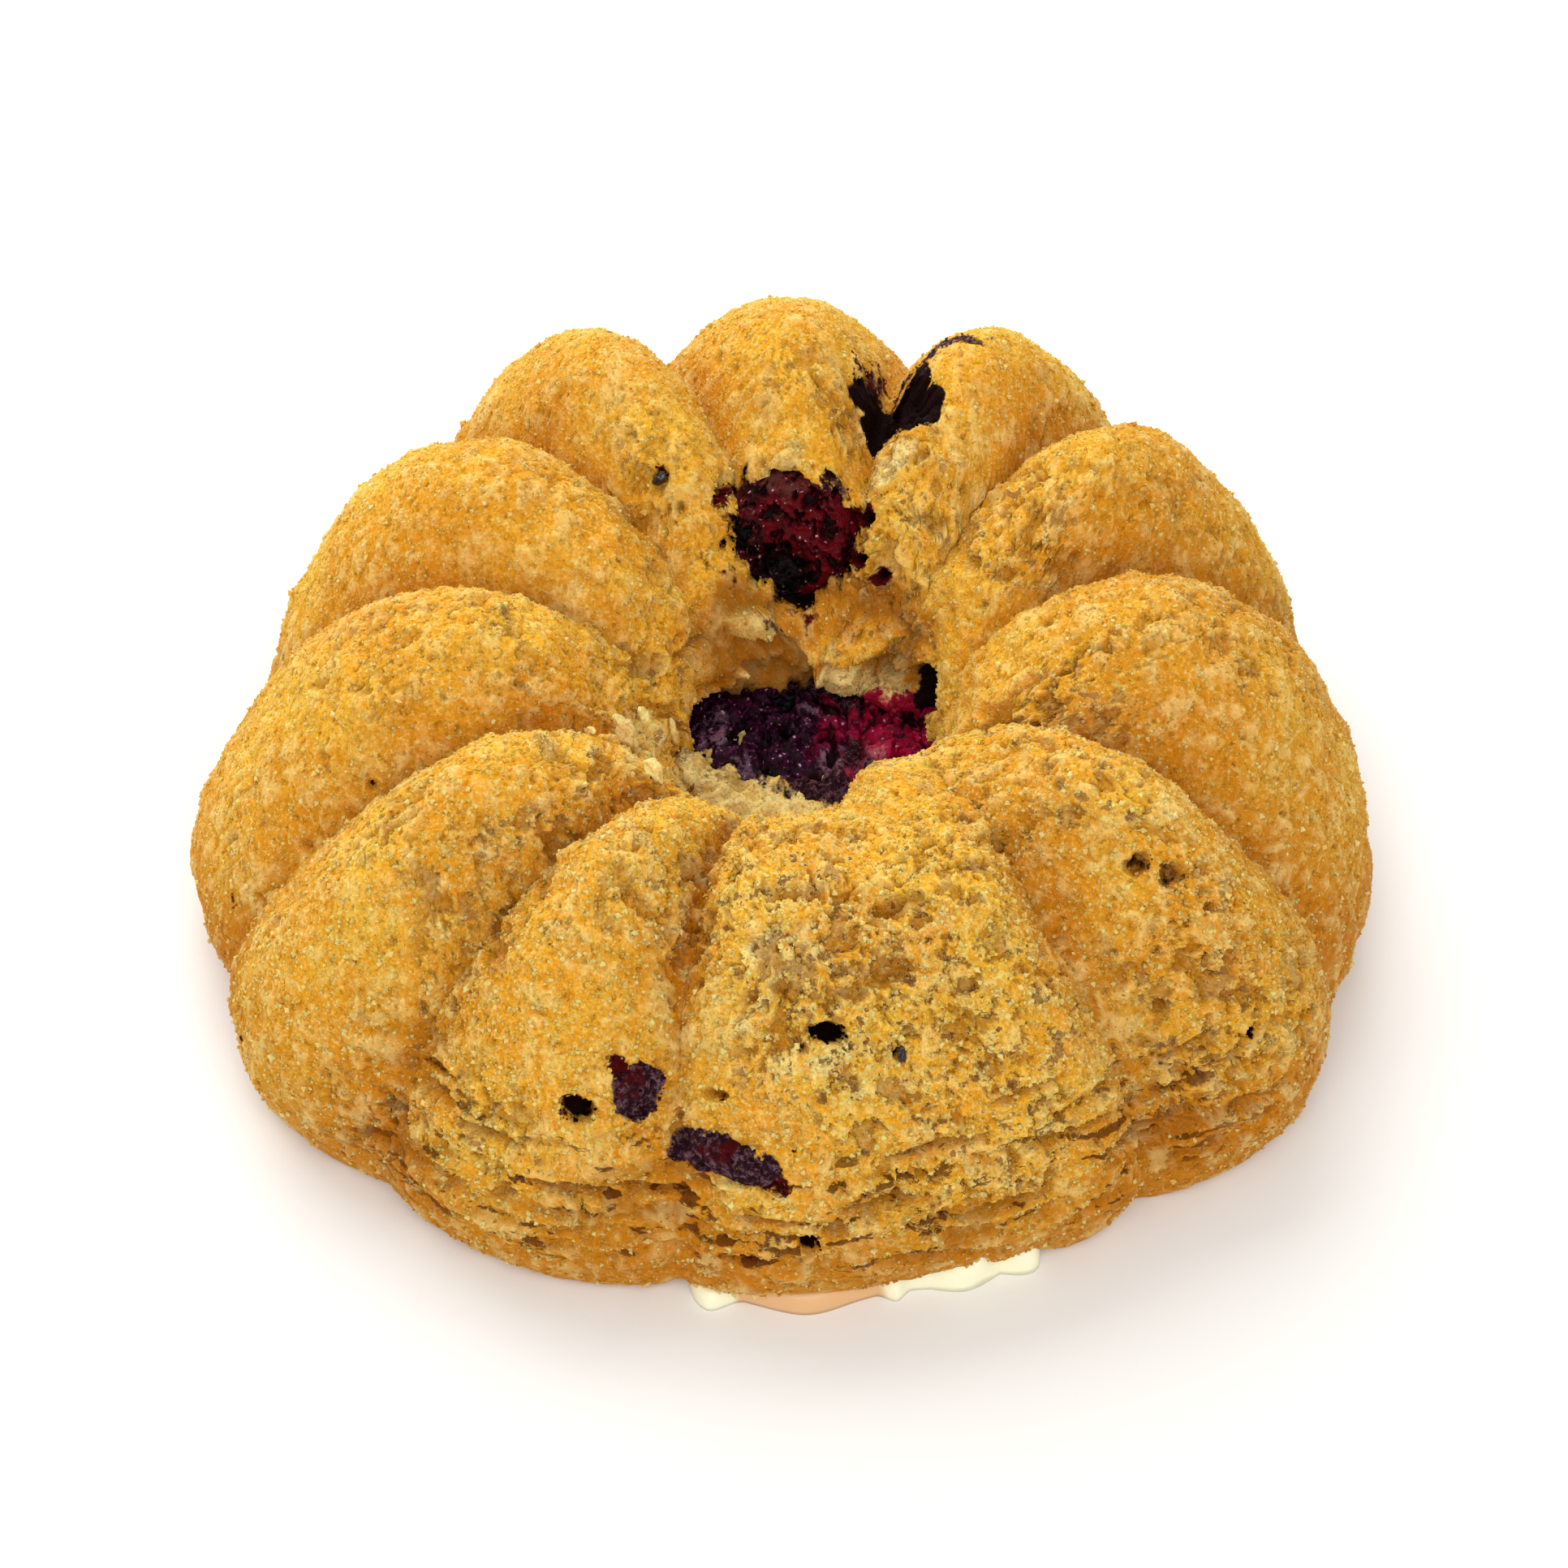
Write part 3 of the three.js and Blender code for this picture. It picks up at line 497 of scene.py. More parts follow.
TINTS = {
    "pale": [
        (158, 1.70, 3.4, 1.2, 0.9), (-53.4, 1.53, 1.3, 2.2, 0.6), (-71.4, 1.14, 2.6, 2.2, 0.7),
        (-153, 1.23, 2.4, 1.3, 0.9), (-107, 0.66, 4.6, 3.2, 1.0), (157, 1.06, 3.0, 1.4, 1.0),
        (-173.4, 1.61, 3.0, 1.2, 0.8), (-1, 2.19, 3.4, 2.4, 0.6), (-110.6, 1.71, 3.0, 0.9, 0.5),
        (4, 2.44, 4.0, 1.6, 0.6), (12, 2.5, 3.0, 2.2, 0.5), (-8, 2.36, 4.0, 4.0, 0.45),
        (58, 2.3, 0.8, 5.0, 0.5), (-33, 2.2, 1.0, 5.0, 0.4), (36, 2.62, 3.0, 3.0, 0.4),
        (8, 2.15, 9.0, 6.0, 0.35), (-26, 2.1, 5.0, 4.0, 0.3), (-143, 1.12, 0.8, 0.7, 0.9),
        (-80, 1.3, 3.0, 4.0, 0.7), (162.5, 1.12, 1.7, 1.1, 1.3), (137.2, 1.10, 2.2, 1.2, 1.3),
    ],
    "olive": [
        (16.8, 2.09, 3.0, 2.0, 0.4), (14, 2.26, 3.0, 2.0, 0.4), (-157, 1.1, 3.2, 2.0, 0.6),
        (-153, 1.23, 2.6, 1.5, 0.8), (-107, 0.66, 5.0, 3.6, 0.8), (-173.4, 1.62, 3.2, 1.4, 0.7),
        (157, 1.74, 3.0, 0.8, 0.5), (2, 2.3, 5.0, 3.0, 0.25), (36, 2.62, 2.4, 2.6, 0.4),
        (-123, 1.16, 3.0, 2.0, 0.5), (10, 2.42, 2.4, 1.2, 0.5), (-178, 1.2, 6.0, 2.4, 0.3),
    ],
    "violet": [
        (165.5, 2.15, 1.8, 1.2, 0.7), (155.2, 2.13, 3.0, 1.3, 1.0), (159, 1.80, 1.6, 0.5, 0.6),
        (172, 1.56, 1.6, 1.2, 0.8), (-17.2, 2.52, 2.6, 2.3, 1.0), (-9.6, 2.63, 2.4, 1.7, 1.0),
        (-2.6, 2.67, 1.7, 1.3, 1.0), (2.2, 2.87, 0.9, 0.9, 0.5), (-163, 1.28, 2.4, 0.8, 0.45),
        (160, 1.99, 1.8, 0.7, 0.7), (-128, 1.04, 1.6, 1.2, 0.6),
    ],
    "wine": [
        (162.2, 1.61, 1.0, 0.9, 1.0), (162.2, 1.47, 0.9, 0.9, 1.0), (153.8, 1.35, 1.0, 0.8, 0.9),
        (-173.5, 1.43, 6.0, 5.6, 0.75), (-22.4, 2.58, 1.5, 1.2, 1.0), (-19.4, 2.47, 1.2, 0.9, 1.0),
        (-1.0, 2.70, 1.1, 0.8, 0.8), (-144.2, 1.69, 1.1, 0.7, 0.9), (128, 1.06, 2.4, 1.3, 0.8),
        (168.6, 2.09, 0.7, 1.0, 0.8), (166.8, 2.09, 1.0, 0.8, 0.8), (164.6, 2.13, 1.2, 0.8, 0.8),
        (162.8, 2.22, 1.0, 1.0, 0.7), (-158.2, 1.60, 0.8, 1.5, 0.8), (50, 2.50, 0.5, 0.4, 0.7),
        (-31.8, 2.27, 0.5, 0.3, 0.8), (-73, 2.34, 0.35, 0.3, 0.9), (-75, 2.8, 0.6, 0.5, 0.7),
        (49.6, 2.27, 1.2, 1.0, 0.4), (-8.4, 2.51, 1.3, 0.6, 0.6), (-5.6, 2.94, 2.0, 0.6, 0.6),
    ],
    # Painted shade: these spots darken the dim far wall of the well, behind the fruit.
    "toast_and_shade": [
        (180, 1.25, 9.0, 2.4, 0.9), (-160, 1.12, 3.0, 1.6, 0.6), (167, 1.12, 1.6, 1.2, 0.9),
        (140, 1.3, 3.0, 2.4, 0.4), (-135, 1.25, 4.0, 2.4, 0.6), (178, 1.75, 6.0, 2.0, 0.3),
    ],
    "crimson": [(133, 1.04, 3.6, 1.6, 1.0), (150, 1.02, 2.4, 0.8, 0.6), (122, 1.05, 1.8, 1.4, 0.8)],
    # Painted shade, near-black: over the hollow at the back, where it also stands for the fruit's
    # juice, and in a few small pits.
    "dark": [
        (154.0, 1.86, 1.5, 1.5, 1.0), (163.6, 1.97, 1.2, 1.5, 1.0), (157.6, 1.97, 1.2, 1.0, 1.0),
        (152.8, 1.79, 1.2, 1.0, 1.0), (156.0, 1.79, 1.0, 0.9, 1.0), (161.6, 1.99, 1.3, 1.3, 1.0),
        (159.4, 2.04, 1.8, 1.5, 1.0), (163.4, 2.07, 1.2, 1.2, 1.0),
        (51.2, 2.71, 0.4, 0.4, 0.9), (-62.0, 2.95, 0.5, 0.4, 0.7), (1.0, 2.63, 0.3, 0.25, 0.8),
    ],
}


def spots(points, places, ragged, sharp):
    """The strongest of several places at each point, as strength times a ragged spot."""
    strongest = np.zeros(len(points))
    for angle, station, half_length, half_height, strength in places:
        share = spot(points, angle, station, half_length, half_height) + ragged
        strongest = np.maximum(strongest, strength * (1 - ease(share, 1 - sharp, 1 + sharp)))
    return strongest


print(len(HOLES), "holes,", len(SLITS), "slits and", sum(map(len, TINTS.values())), "tints")

# %% [markdown]
# ## Relief of the sponge
#
# Large relief first, as in the solid model: soft lumps, crags, the torn front where skin stayed in
# the tin, ledges low on the front, and bulges of the well's wall. Then what only a fine mesh can
# hold. Torn sponge is a crowd of rounded clumps with creases between them, which is what the
# absolute value of smooth noise looks like, and pits with ragged edges, which is layered noise cut
# off at a level. Pores are bubbles that burst at the surface, in three sizes. Low on the front the
# sponge tore along its layers, which is noise stretched along the muffin.

# %% Relief of the sponge
RELIEF = {"lumps": 0.35, "crags": 0.5, "ledges": 0.28, "tear": 0.55, "lip": 0.45}
CRAGS_ELSEWHERE = 0.45
TEAR = {"angle": 8, "half_angle": 15, "radius": 32, "half_width": 8}
LEDGE_BAND = {"angle": 2, "half_angle": 48, "z": 10.5, "half_height": 6, "pitch": 3.1}
WELL_BULGES = [  # angle, half angle, height, half height and how far the wall stands out
    (180, 42, 16.5, 2.6, 1.7), (34, 24, 19, 7, 4), (-75, 25, 22, 6, -2),
]
PITS = [  # size of the noise, seed, layers, level where a pit starts and where it is whole, depth
    (2.0, 110, 4, 0.44, 0.52, 0.75), (0.9, 115, 3, 0.44, 0.54, 0.45),
]
PORES = [  # cell, share of cells, smallest and largest radius, depth per radius, where
    (3.3, 0.35, 0.3, 1.1, 0.9, "open"), (2.0, 0.5, 0.2, 0.6, 1.1, "most"),
    (1.1, 0.6, 0.12, 0.34, 1.2, "all"),
]
LAYERS = {"radius": 44, "flatness": 0.24}  # torn layers are about four times as long as high
SKIN_IN = 0.2  # the finished surface lies this far inside, which leaves room for loose crumbs
# The dark inside a hollow is painted shade, laid only in hollows at least this deep.
SHALLOW = 2.0  # hollows less deep than this are not dark inside
UNDER_BERRY = 0.6  # room left under each berry in the well
PULP_LEVEL = 13.4  # soaked crumb fills the floor of the well between the berries up to here
HEAP = {"y": -1.9, "slope": -0.55, "right": 3.0, "top": 14.1}  # loose crumb before the fruit


def large_relief(points, angle, station):
    """Lumps, crags, ledges, tear, lip and bulges, as the solid model has them, and two masks:
    where the skin is torn and where the layers show."""
    z = points[:, 2]
    radius = np.hypot(points[:, 0], points[:, 1])
    lumps = RELIEF["lumps"] * noise(points, 7, 1)
    torn = band(turn_between(angle, TEAR["angle"]), -TEAR["half_angle"], TEAR["half_angle"], 7)
    reach = TEAR["half_width"]
    torn = torn * band(radius, TEAR["radius"] - reach, TEAR["radius"] + reach, 4)
    strength = np.minimum(1, CRAGS_ELSEWHERE + torn)
    crags = RELIEF["crags"] * strength * noise(points, 3, 2)
    reach = LEDGE_BAND["half_angle"]
    layers = band(turn_between(angle, LEDGE_BAND["angle"]), -reach, reach, 10)
    reach = LEDGE_BAND["half_height"]
    layers = layers * band(z, LEDGE_BAND["z"] - reach, LEDGE_BAND["z"] + reach, 2) * (station > 2)
    phase = z / LEDGE_BAND["pitch"] + 0.8 * noise(points * (1, 1, 0), 9, 3)
    ledges = RELIEF["ledges"] * layers * np.sin(2 * np.pi * phase)
    wall = band(station, 1.02, 1.95, 0.05)
    bulges = sum(
        out * hill(turn_between(angle, at), half) * hill(z - level, reach)
        for at, half, level, reach, out in WELL_BULGES
    )
    lip = RELIEF["lip"] * noise(points, 2.6, 4)
    height = lumps + crags + ledges + wall * (bulges + lip) - RELIEF["tear"] * torn
    return height, torn, layers


def fine_relief(points, angle, station, torn, layers):
    """Pores, clumps, torn layers, holes and slits: a height, how deep in a pore a point is, how
    open the crumb is there, how far it stands up, -1 to 1, and how deep in a hole it is."""
    shift = drift(points, 1.3, 61, 2)
    bent = points + 0.33 * shift
    front = hill(turn_between(angle, 4), 75) * band(station, 1.9, 2.85, 0.15)
    wall = 1 - ease(station, 1.8, 2.0)
    open_crumb = np.clip(0.32 + 0.42 * front + 0.25 * torn + 0.35 * wall, 0, 1)
    open_crumb = open_crumb * ease(points[:, 2], 1.0, 6.0)
    patchy = ease(noise(points, 8, 64), -0.6, 0.4)
    places = {
        "open": ease(open_crumb, 0.2, 0.8) * patchy, "most": 0.35 + 0.65 * open_crumb,
        "all": 0.55 + 0.45 * open_crumb,
    }
    height = np.zeros(len(points))
    pore = np.zeros(len(points))
    for n, (cell, share, small, large, per_radius, where) in enumerate(PORES):
        away, radius = bubbles(bent, cell, 70 + 10 * n, share, small, large)
        inside = (1 - ease(away, -0.45 * radius, 0.04)) * places[where]
        height = height - (0.12 + per_radius * radius) * inside
        pore = np.maximum(pore, inside)
    for size, seed, layers_of_noise, start, whole, depth in PITS:
        inside = ease(-layered_noise(bent, size, seed, layers_of_noise), start, whole)
        inside = inside * ease(open_crumb * patchy, 0.1, 0.6)
        height = height - depth * (0.4 + 0.6 * open_crumb) * inside
        pore = np.maximum(pore, inside)
    billows = 2 * np.abs(noise(bent, 1.5, 104)) + 1.2 * np.abs(noise(bent, 0.7, 105)) - 0.7
    clumps = 0.8 * billows + 0.5 * noise(bent, 0.5, 90) + 0.35 * noise(points, 0.27, 91)
    rough = 0.12 + 0.2 * open_crumb
    height = height + rough * clumps + 0.35 * open_crumb * noise(bent, 1.9, 92)
    around = np.radians(angle) * LAYERS["radius"] * LAYERS["flatness"]
    stretched = np.column_stack([around, points[:, 2]]) + 0.25 * shift[:, :2]
    stretched = np.column_stack([stretched, 0.1 * np.hypot(points[:, 0], points[:, 1])])
    torn_layers = 0.6 - 1.7 * np.abs(layered_noise(stretched, 1.6, 95, 2))
    height = height + 0.34 * layers * torn_layers
    pore = np.maximum(pore, layers * ease(-torn_layers, 0.15, 0.7))
    ragged = 0.22 * layered_noise(points, 0.9, 107, 2)
    holes = spots(points, HOLES, ragged, 0.16)
    slits = spots(points, SLITS, ragged, 0.3)
    pore = np.maximum(pore, np.clip(holes + slits, 0, 1))
    return height - holes - slits, pore, open_crumb * (0.35 + 0.65 * patchy), clumps, holes


def heap_share(smooth, station, ragged):
    """1 in the front corner of the well, where loose crumb lies: before a slanting line."""
    before = HEAP["y"] + HEAP["slope"] * smooth[:, 0] - smooth[:, 1] + 0.8 * ragged
    inside = (1 - ease(smooth[:, 0], HEAP["right"], 5.0)) * (1 - ease(station, 1.0, 1.08))
    return ease(before, -0.2, 0.3) * inside


def dig_crust_hollows(points, smooth, ragged):
    """Moves the sponge over the fruit in the crust inwards, to one depth inside a ragged outline
    and by no more than that depth. Returns the points and how far inside a hollow each one is."""
    hollow = np.zeros(len(points))
    for fruit in CRUST_FRUIT.values():
        share = across_fruit(smooth, fruit) + fruit["ragged"] * ragged
        inside = 1 - ease(share, fruit["open"] - 0.06, fruit["open"] + 0.05)
        inwards = digging_direction(fruit)
        depth = (points - sponge_point(fruit["angle"], fruit["station"])) @ inwards
        further = np.clip(fruit["depth"] + 0.4 * ragged - depth, 0, fruit["depth"]) * inside
        points = points + further[:, None] * inwards
        # Painted shade: the walls of this hollow go dark too, which also stands for the juice's
        # stain.
        if "mouth" in fruit:  # juice has blackened its walls too
            inside = 1 - ease(share, fruit["open"] + 0.06, fruit["open"] + 0.16)
        hollow = np.maximum(hollow, inside * (fruit["depth"] > SHALLOW))
    return points, hollow


def level_with_fruit(smooth):
    """For each berry in the well, the points moved up or down to the height of its middle, so
    that their distance across it doesn't depend on their height."""
    return [smooth * (1, 1, 0) + (0, 0, fruit["centre"][2]) for fruit in WELL_FRUIT.values()]


def dig_well_hollows(points, smooth, station, ragged, keep):
    """Lowers the floor of the well to flat beds under the berries. keep, 0 to 1, is left."""
    for fruit, flat in zip(WELL_FRUIT.values(), level_with_fruit(smooth)):
        share = across_fruit(flat, fruit) + 0.1 * ragged
        inside = (1 - ease(share, 0.93, 1.04)) * (1 - keep)
        inside = inside * (1 - ease(smooth[:, 2], 13.0, 14.5)) * (station < 1.5)
        floor = fruit["centre"][2] - fruit["size"][2] - UNDER_BERRY
        points[:, 2] = points[:, 2] + (np.minimum(points[:, 2], floor) - points[:, 2]) * inside
    return points


def fill_well(points, smooth, station, ragged):
    """Raises pulp between the berries to its level, and a heap of loose crumb before them, which
    slopes up to the front. Both levels are uneven by layered noise."""
    shares = map(across_fruit, level_with_fruit(smooth), WELL_FRUIT.values())
    pulp = ease(np.min(list(shares), axis=0), 0.87, 0.97) * (1 - ease(station, 0.8, 1.0))
    level = PULP_LEVEL + 0.7 * layered_noise(smooth, 1.1, 109, 3)
    points[:, 2] = points[:, 2] + np.maximum(level - points[:, 2], 0) * pulp
    rise = np.clip(HEAP["slope"] * smooth[:, 0] + HEAP["y"] - smooth[:, 1], 0, 3)
    crumbly = HEAP["top"] - 1.0 + 0.5 * rise + 0.9 * layered_noise(smooth, 1.3, 108, 3)
    heap = heap_share(smooth, station, ragged)
    points[:, 2] = points[:, 2] + np.maximum(crumbly - points[:, 2], 0) * heap
    return points


print("pores of radius", ", ".join("%.2f to %.2f" % row[2:4] for row in PORES), "mm")

# %% [markdown]
# ## Icing line
#
# The icing lies in a recess under the muffin and runs out past the rim at the front. Its outline is
# needed before the sponge is finished, because the foot stands on the icing there.

# %% Icing line
ICING = {"thick": 1.2, "inset": 2.6, "wave": 0.5}
SPILL = {"from": -11.5, "to": 28, "soft": 2.2}
DRIPS = [  # angle, width, reach and rise of each drip
    (-8, 2.3, 1.7, 0), (2.0, 4.6, 1.1, 0.2), (11.2, 1.2, 0.9, 0.5), (18.5, 3.6, 1.2, 1.1),
    (20, 1.2, 0.2, 2.6), (25, 2.6, 1.1, 1.2),
]
GAP = 0.3  # clearance between sponge and icing
FOOT_LIFT = 0.6  # the foot is squeezed up over the spilt icing by this share of its height


def icing_edge(angle):
    """Radius, height and spill share of the icing's edge at each angle, and the rim's radius: the
    edge is inside the rim by the inset and a wave, or outside it over the spill, by the largest
    reach of the drips."""
    foot = sponge_point(angle, 4.0)
    rim = np.hypot(foot[..., 0], foot[..., 1])
    spill = band(turn_between(angle, 0), SPILL["from"], SPILL["to"], SPILL["soft"])
    shares = [hill(turn_between(angle, at), width) for at, width, _, _ in DRIPS]
    reach = np.max([share * drip[2] for share, drip in zip(shares, DRIPS)], axis=0)
    rise = np.max([share * drip[3] for share, drip in zip(shares, DRIPS)], axis=0)
    wave = np.sin(np.radians(7 * angle)) + np.sin(np.radians(11 * angle + 40))
    inside = rim - ICING["inset"] + ICING["wave"] * wave
    radius = inside + (rim + 0.5 + reach - inside) * spill
    return radius, ICING["thick"] + (0.4 + rise) * spill, spill, rim


print("icing reaches %.1f mm from the middle" % icing_edge(np.arange(-180.0, 180.0))[0].max())

# %% [markdown]
# ## Rings and faces
#
# Rings of points follow the stations, about 0.2 mm apart. A ring near the middle of the well needs
# far fewer points than one round the belly, so the number of columns halves twice on the way in,
# and each halving is stitched with three triangles to every pair of columns. Columns stand closer
# at the front, where the crumb is torn open.

# %% Rings and faces
COLUMNS = 1120
FRONT_CROWDING = 0.35  # columns at the front stand this much closer than the average
ROW_PITCH = {"floor": 0.35, "deep wall": 0.26, "wall": 0.22, "outside": 0.21, "foot": 0.35}
ROW_RANGE = {
    "floor": (0.06, 1.0), "deep wall": (1.0, 1.3), "wall": (1.3, 2.0), "outside": (2.0, 3.0),
    "foot": (3.0, 4.0),
}
HALVINGS = {"floor": 4, "deep wall": 2, "wall": 1, "outside": 1, "foot": 1}


def column_angles(count):
    """Angles whose spacing is narrower at the front: the angle plus crowding times its sine grows
    evenly, and is solved for by interpolation."""
    fine = np.linspace(-180, 180, 7201)
    even = fine + np.degrees(FRONT_CROWDING * np.sin(np.radians(fine)))
    return np.interp(np.arange(count) * 360 / count - 180, even, fine)


def row_stations(part):
    """Stations that are evenly far apart along the ridge's section over one part of it."""
    start, end = ROW_RANGE[part]
    fine = np.linspace(start, end, 400)
    r, z = section(RIDGE, fine)
    length = np.concatenate([[0], np.cumsum(np.hypot(np.diff(r), np.diff(z)))])
    count = max(2, round(length[-1] / ROW_PITCH[part]))
    even = np.linspace(0, length[-1], count + 1)[1:]
    return np.interp(even, length, fine)


def build_rings():
    """All rings from the well's floor to the foot: angle and station of every point, and how many
    points each ring has."""
    angles, stations, counts = [], [], []
    for part, halving in HALVINGS.items():
        count = COLUMNS // halving
        around = column_angles(count)
        for station in row_stations(part):
            angles.append(around)
            stations.append(np.full(count, station))
            counts.append(count)
    return np.concatenate(angles), np.concatenate(stations), counts


def stitch(counts):
    """Triangles between neighbouring rings: two to each column where both rings have as many
    points, and three to each pair of columns where the outer ring has twice as many."""
    triangles = []
    start = 0
    for inner, outer in zip(counts, counts[1:]):
        i = np.arange(inner)
        i_next = (i + 1) % inner
        here, following, below = start + i, start + i_next, start + inner
        if inner == outer:
            faces = [(here, below + i, below + i_next), (here, below + i_next, following)]
        else:
            a, b, c = below + 2 * i, below + 2 * i + 1, below + (2 * i + 2) % outer
            faces = [(here, a, b), (here, b, following), (following, b, c)]
        triangles += [np.stack(face, axis=1) for face in faces]
        start = below
    return np.concatenate(triangles)


def fan(pole, ring_start, count, outwards):
    """Triangles between a pole and a ring. outwards says which way they face."""
    i = np.arange(count)
    here, following = ring_start + i, ring_start + (i + 1) % count
    pair = (here, following) if outwards else (following, here)
    return np.stack([np.full(count, pole), *pair], axis=1)


def loft(rings, first_pole, last_pole):
    """Closed surface through rings of equally or doubly many points, with a pole at each end."""
    counts = [len(ring) for ring in rings]
    points = np.concatenate([*rings, [first_pole], [last_pole]])
    first, last = len(points) - 2, len(points) - 1
    caps = [fan(first, 0, counts[0], True), fan(last, first - counts[-1], counts[-1], False)]
    return points, np.concatenate([stitch(counts), *caps])


def mesh_object(name, points, triangles, looks=None, smooth=True):
    """A mesh object from millimetre points, triangles and float attributes of the points."""
    mesh = bpy.data.meshes.new(name)
    mesh.vertices.add(len(points))
    mesh.vertices.foreach_set("co", (np.asarray(points) * MM).astype(np.float32).ravel())
    mesh.loops.add(triangles.size)
    mesh.loops.foreach_set("vertex_index", triangles.astype(np.int32).ravel())
    mesh.polygons.add(len(triangles))
    mesh.polygons.foreach_set("loop_start", np.arange(0, triangles.size, 3, dtype=np.int32))
    mesh.polygons.foreach_set("use_smooth", np.full(len(triangles), smooth))
    mesh.update(calc_edges=True)
    for label, values in (looks or {}).items():
        layer = mesh.attributes.new(label, "FLOAT", "POINT")
        layer.data.foreach_set("value", np.asarray(values, dtype=np.float32))
    piece = bpy.data.objects.new(name, mesh)
    bpy.context.scene.collection.objects.link(piece)
    return piece


def read_mesh(piece, labels):
    """Points in millimetres, triangles, and the named attributes of a piece, as arrays."""
    mesh = piece.data
    points = np.empty(len(mesh.vertices) * 3, dtype=np.float32)
    mesh.vertices.foreach_get("co", points)
    mesh.calc_loop_triangles()
    triangles = np.empty(len(mesh.loop_triangles) * 3, dtype=np.int32)
    mesh.loop_triangles.foreach_get("vertices", triangles)
    looks = {}
    for label in labels:
        looks[label] = np.empty(len(mesh.vertices), dtype=np.float32)
        mesh.attributes[label].data.foreach_get("value", looks[label])
    return points.reshape(-1, 3) / MM, triangles.reshape(-1, 3), looks


ANGLES, STATIONS, RING_COUNTS = build_rings()
print(len(RING_COUNTS), "rings,", len(ANGLES), "points")

# %% [markdown]
# ## The finished sponge
#
# All layers meet here: smooth point, relief along the normal, then the fruit's hollows. The masks
# become attributes of the points, for the material. Two rings and a pole under the foot close the
# skin round the recess for the icing. The grid has far more faces than smooth crust needs, so a
# collapse of the flattest edges keeps about a quarter of them, nearly all where the crumb is open.

# %% The finished sponge
MOST_TRIANGLES = 196000
# The crust browns by these causes; low down, in the grooves, on the right and along one groove line
# this is partly painted shade. Torn crumb browns less.
BROWNING_AND_SHADE = {"low": 0.9, "groove": 0.6, "right": 0.38, "groove_line": 0.9, "torn": -0.4}
# pore and dark carry painted shade; on the sponge, shade carries painted light and shade on raised
# and low clumps; the crust's browning is partly painted shade.
LOOKS = (
    "pore", "open", "layers", "toast_and_shade", "pale", "olive", "violet", "wine", "crimson", "dark",
    "shade",
)


def sponge_looks(smooth, angle, station, torn, ragged):
    """The attributes of the crumb: tints from the list, and how brown the crust is. The crust is
    browner low down, in the grooves and on the right: partly browned crust, partly painted shade."""
    looks = {kind: spots(smooth, places, 0.3 * ragged, 0.3) for kind, places in TINTS.items()}
    groove = (1 - rib_height(angle, station)) * (station > 1.5)
    causes = {
        "low": 1 - ease(smooth[:, 2], 2, 17), "groove": groove,
        "right": ease(smooth[:, 0], 10, 45), "torn": torn,
        "groove_line": groove**3 * hill(turn_between(angle, -16), 7) * (1 - ease(station, 2.15, 2.5)),
    }
    toast_and_shade = sum(weight * causes[cause] for cause, weight in BROWNING_AND_SHADE.items())
    looks["toast_and_shade"] = np.clip(toast_and_shade * (station > 1.4) + looks["toast_and_shade"], 0, 1)
    looks["pale"] = np.maximum(looks["pale"], 0.25 * torn)
    heap = heap_share(smooth, station, ragged)
    juice = (1 - ease(station, 0.96, 1.1)) * (1 - spots(smooth, LUMPS, 0.3 * ragged, 0.3))
    juice = juice * (1 - heap)
    looks["pale"] = np.maximum(looks["pale"], heap)
    looks["olive"] = np.maximum(looks["olive"], heap * 0.15)
    soaked = HEAP["y"] + HEAP["slope"] * smooth[:, 0] - smooth[:, 1] - 1.2 * ragged
    juice = np.maximum(juice, heap * (1 - ease(soaked, 0.2, 1.6)) * 0.7)
    looks["violet"] = np.maximum(looks["violet"], juice)
    right = ease(smooth[:, 0] + 1.5 * ragged, 3.4, 7.0)
    looks["crimson"] = np.maximum(looks["crimson"], 0.6 * juice * right)
    return looks


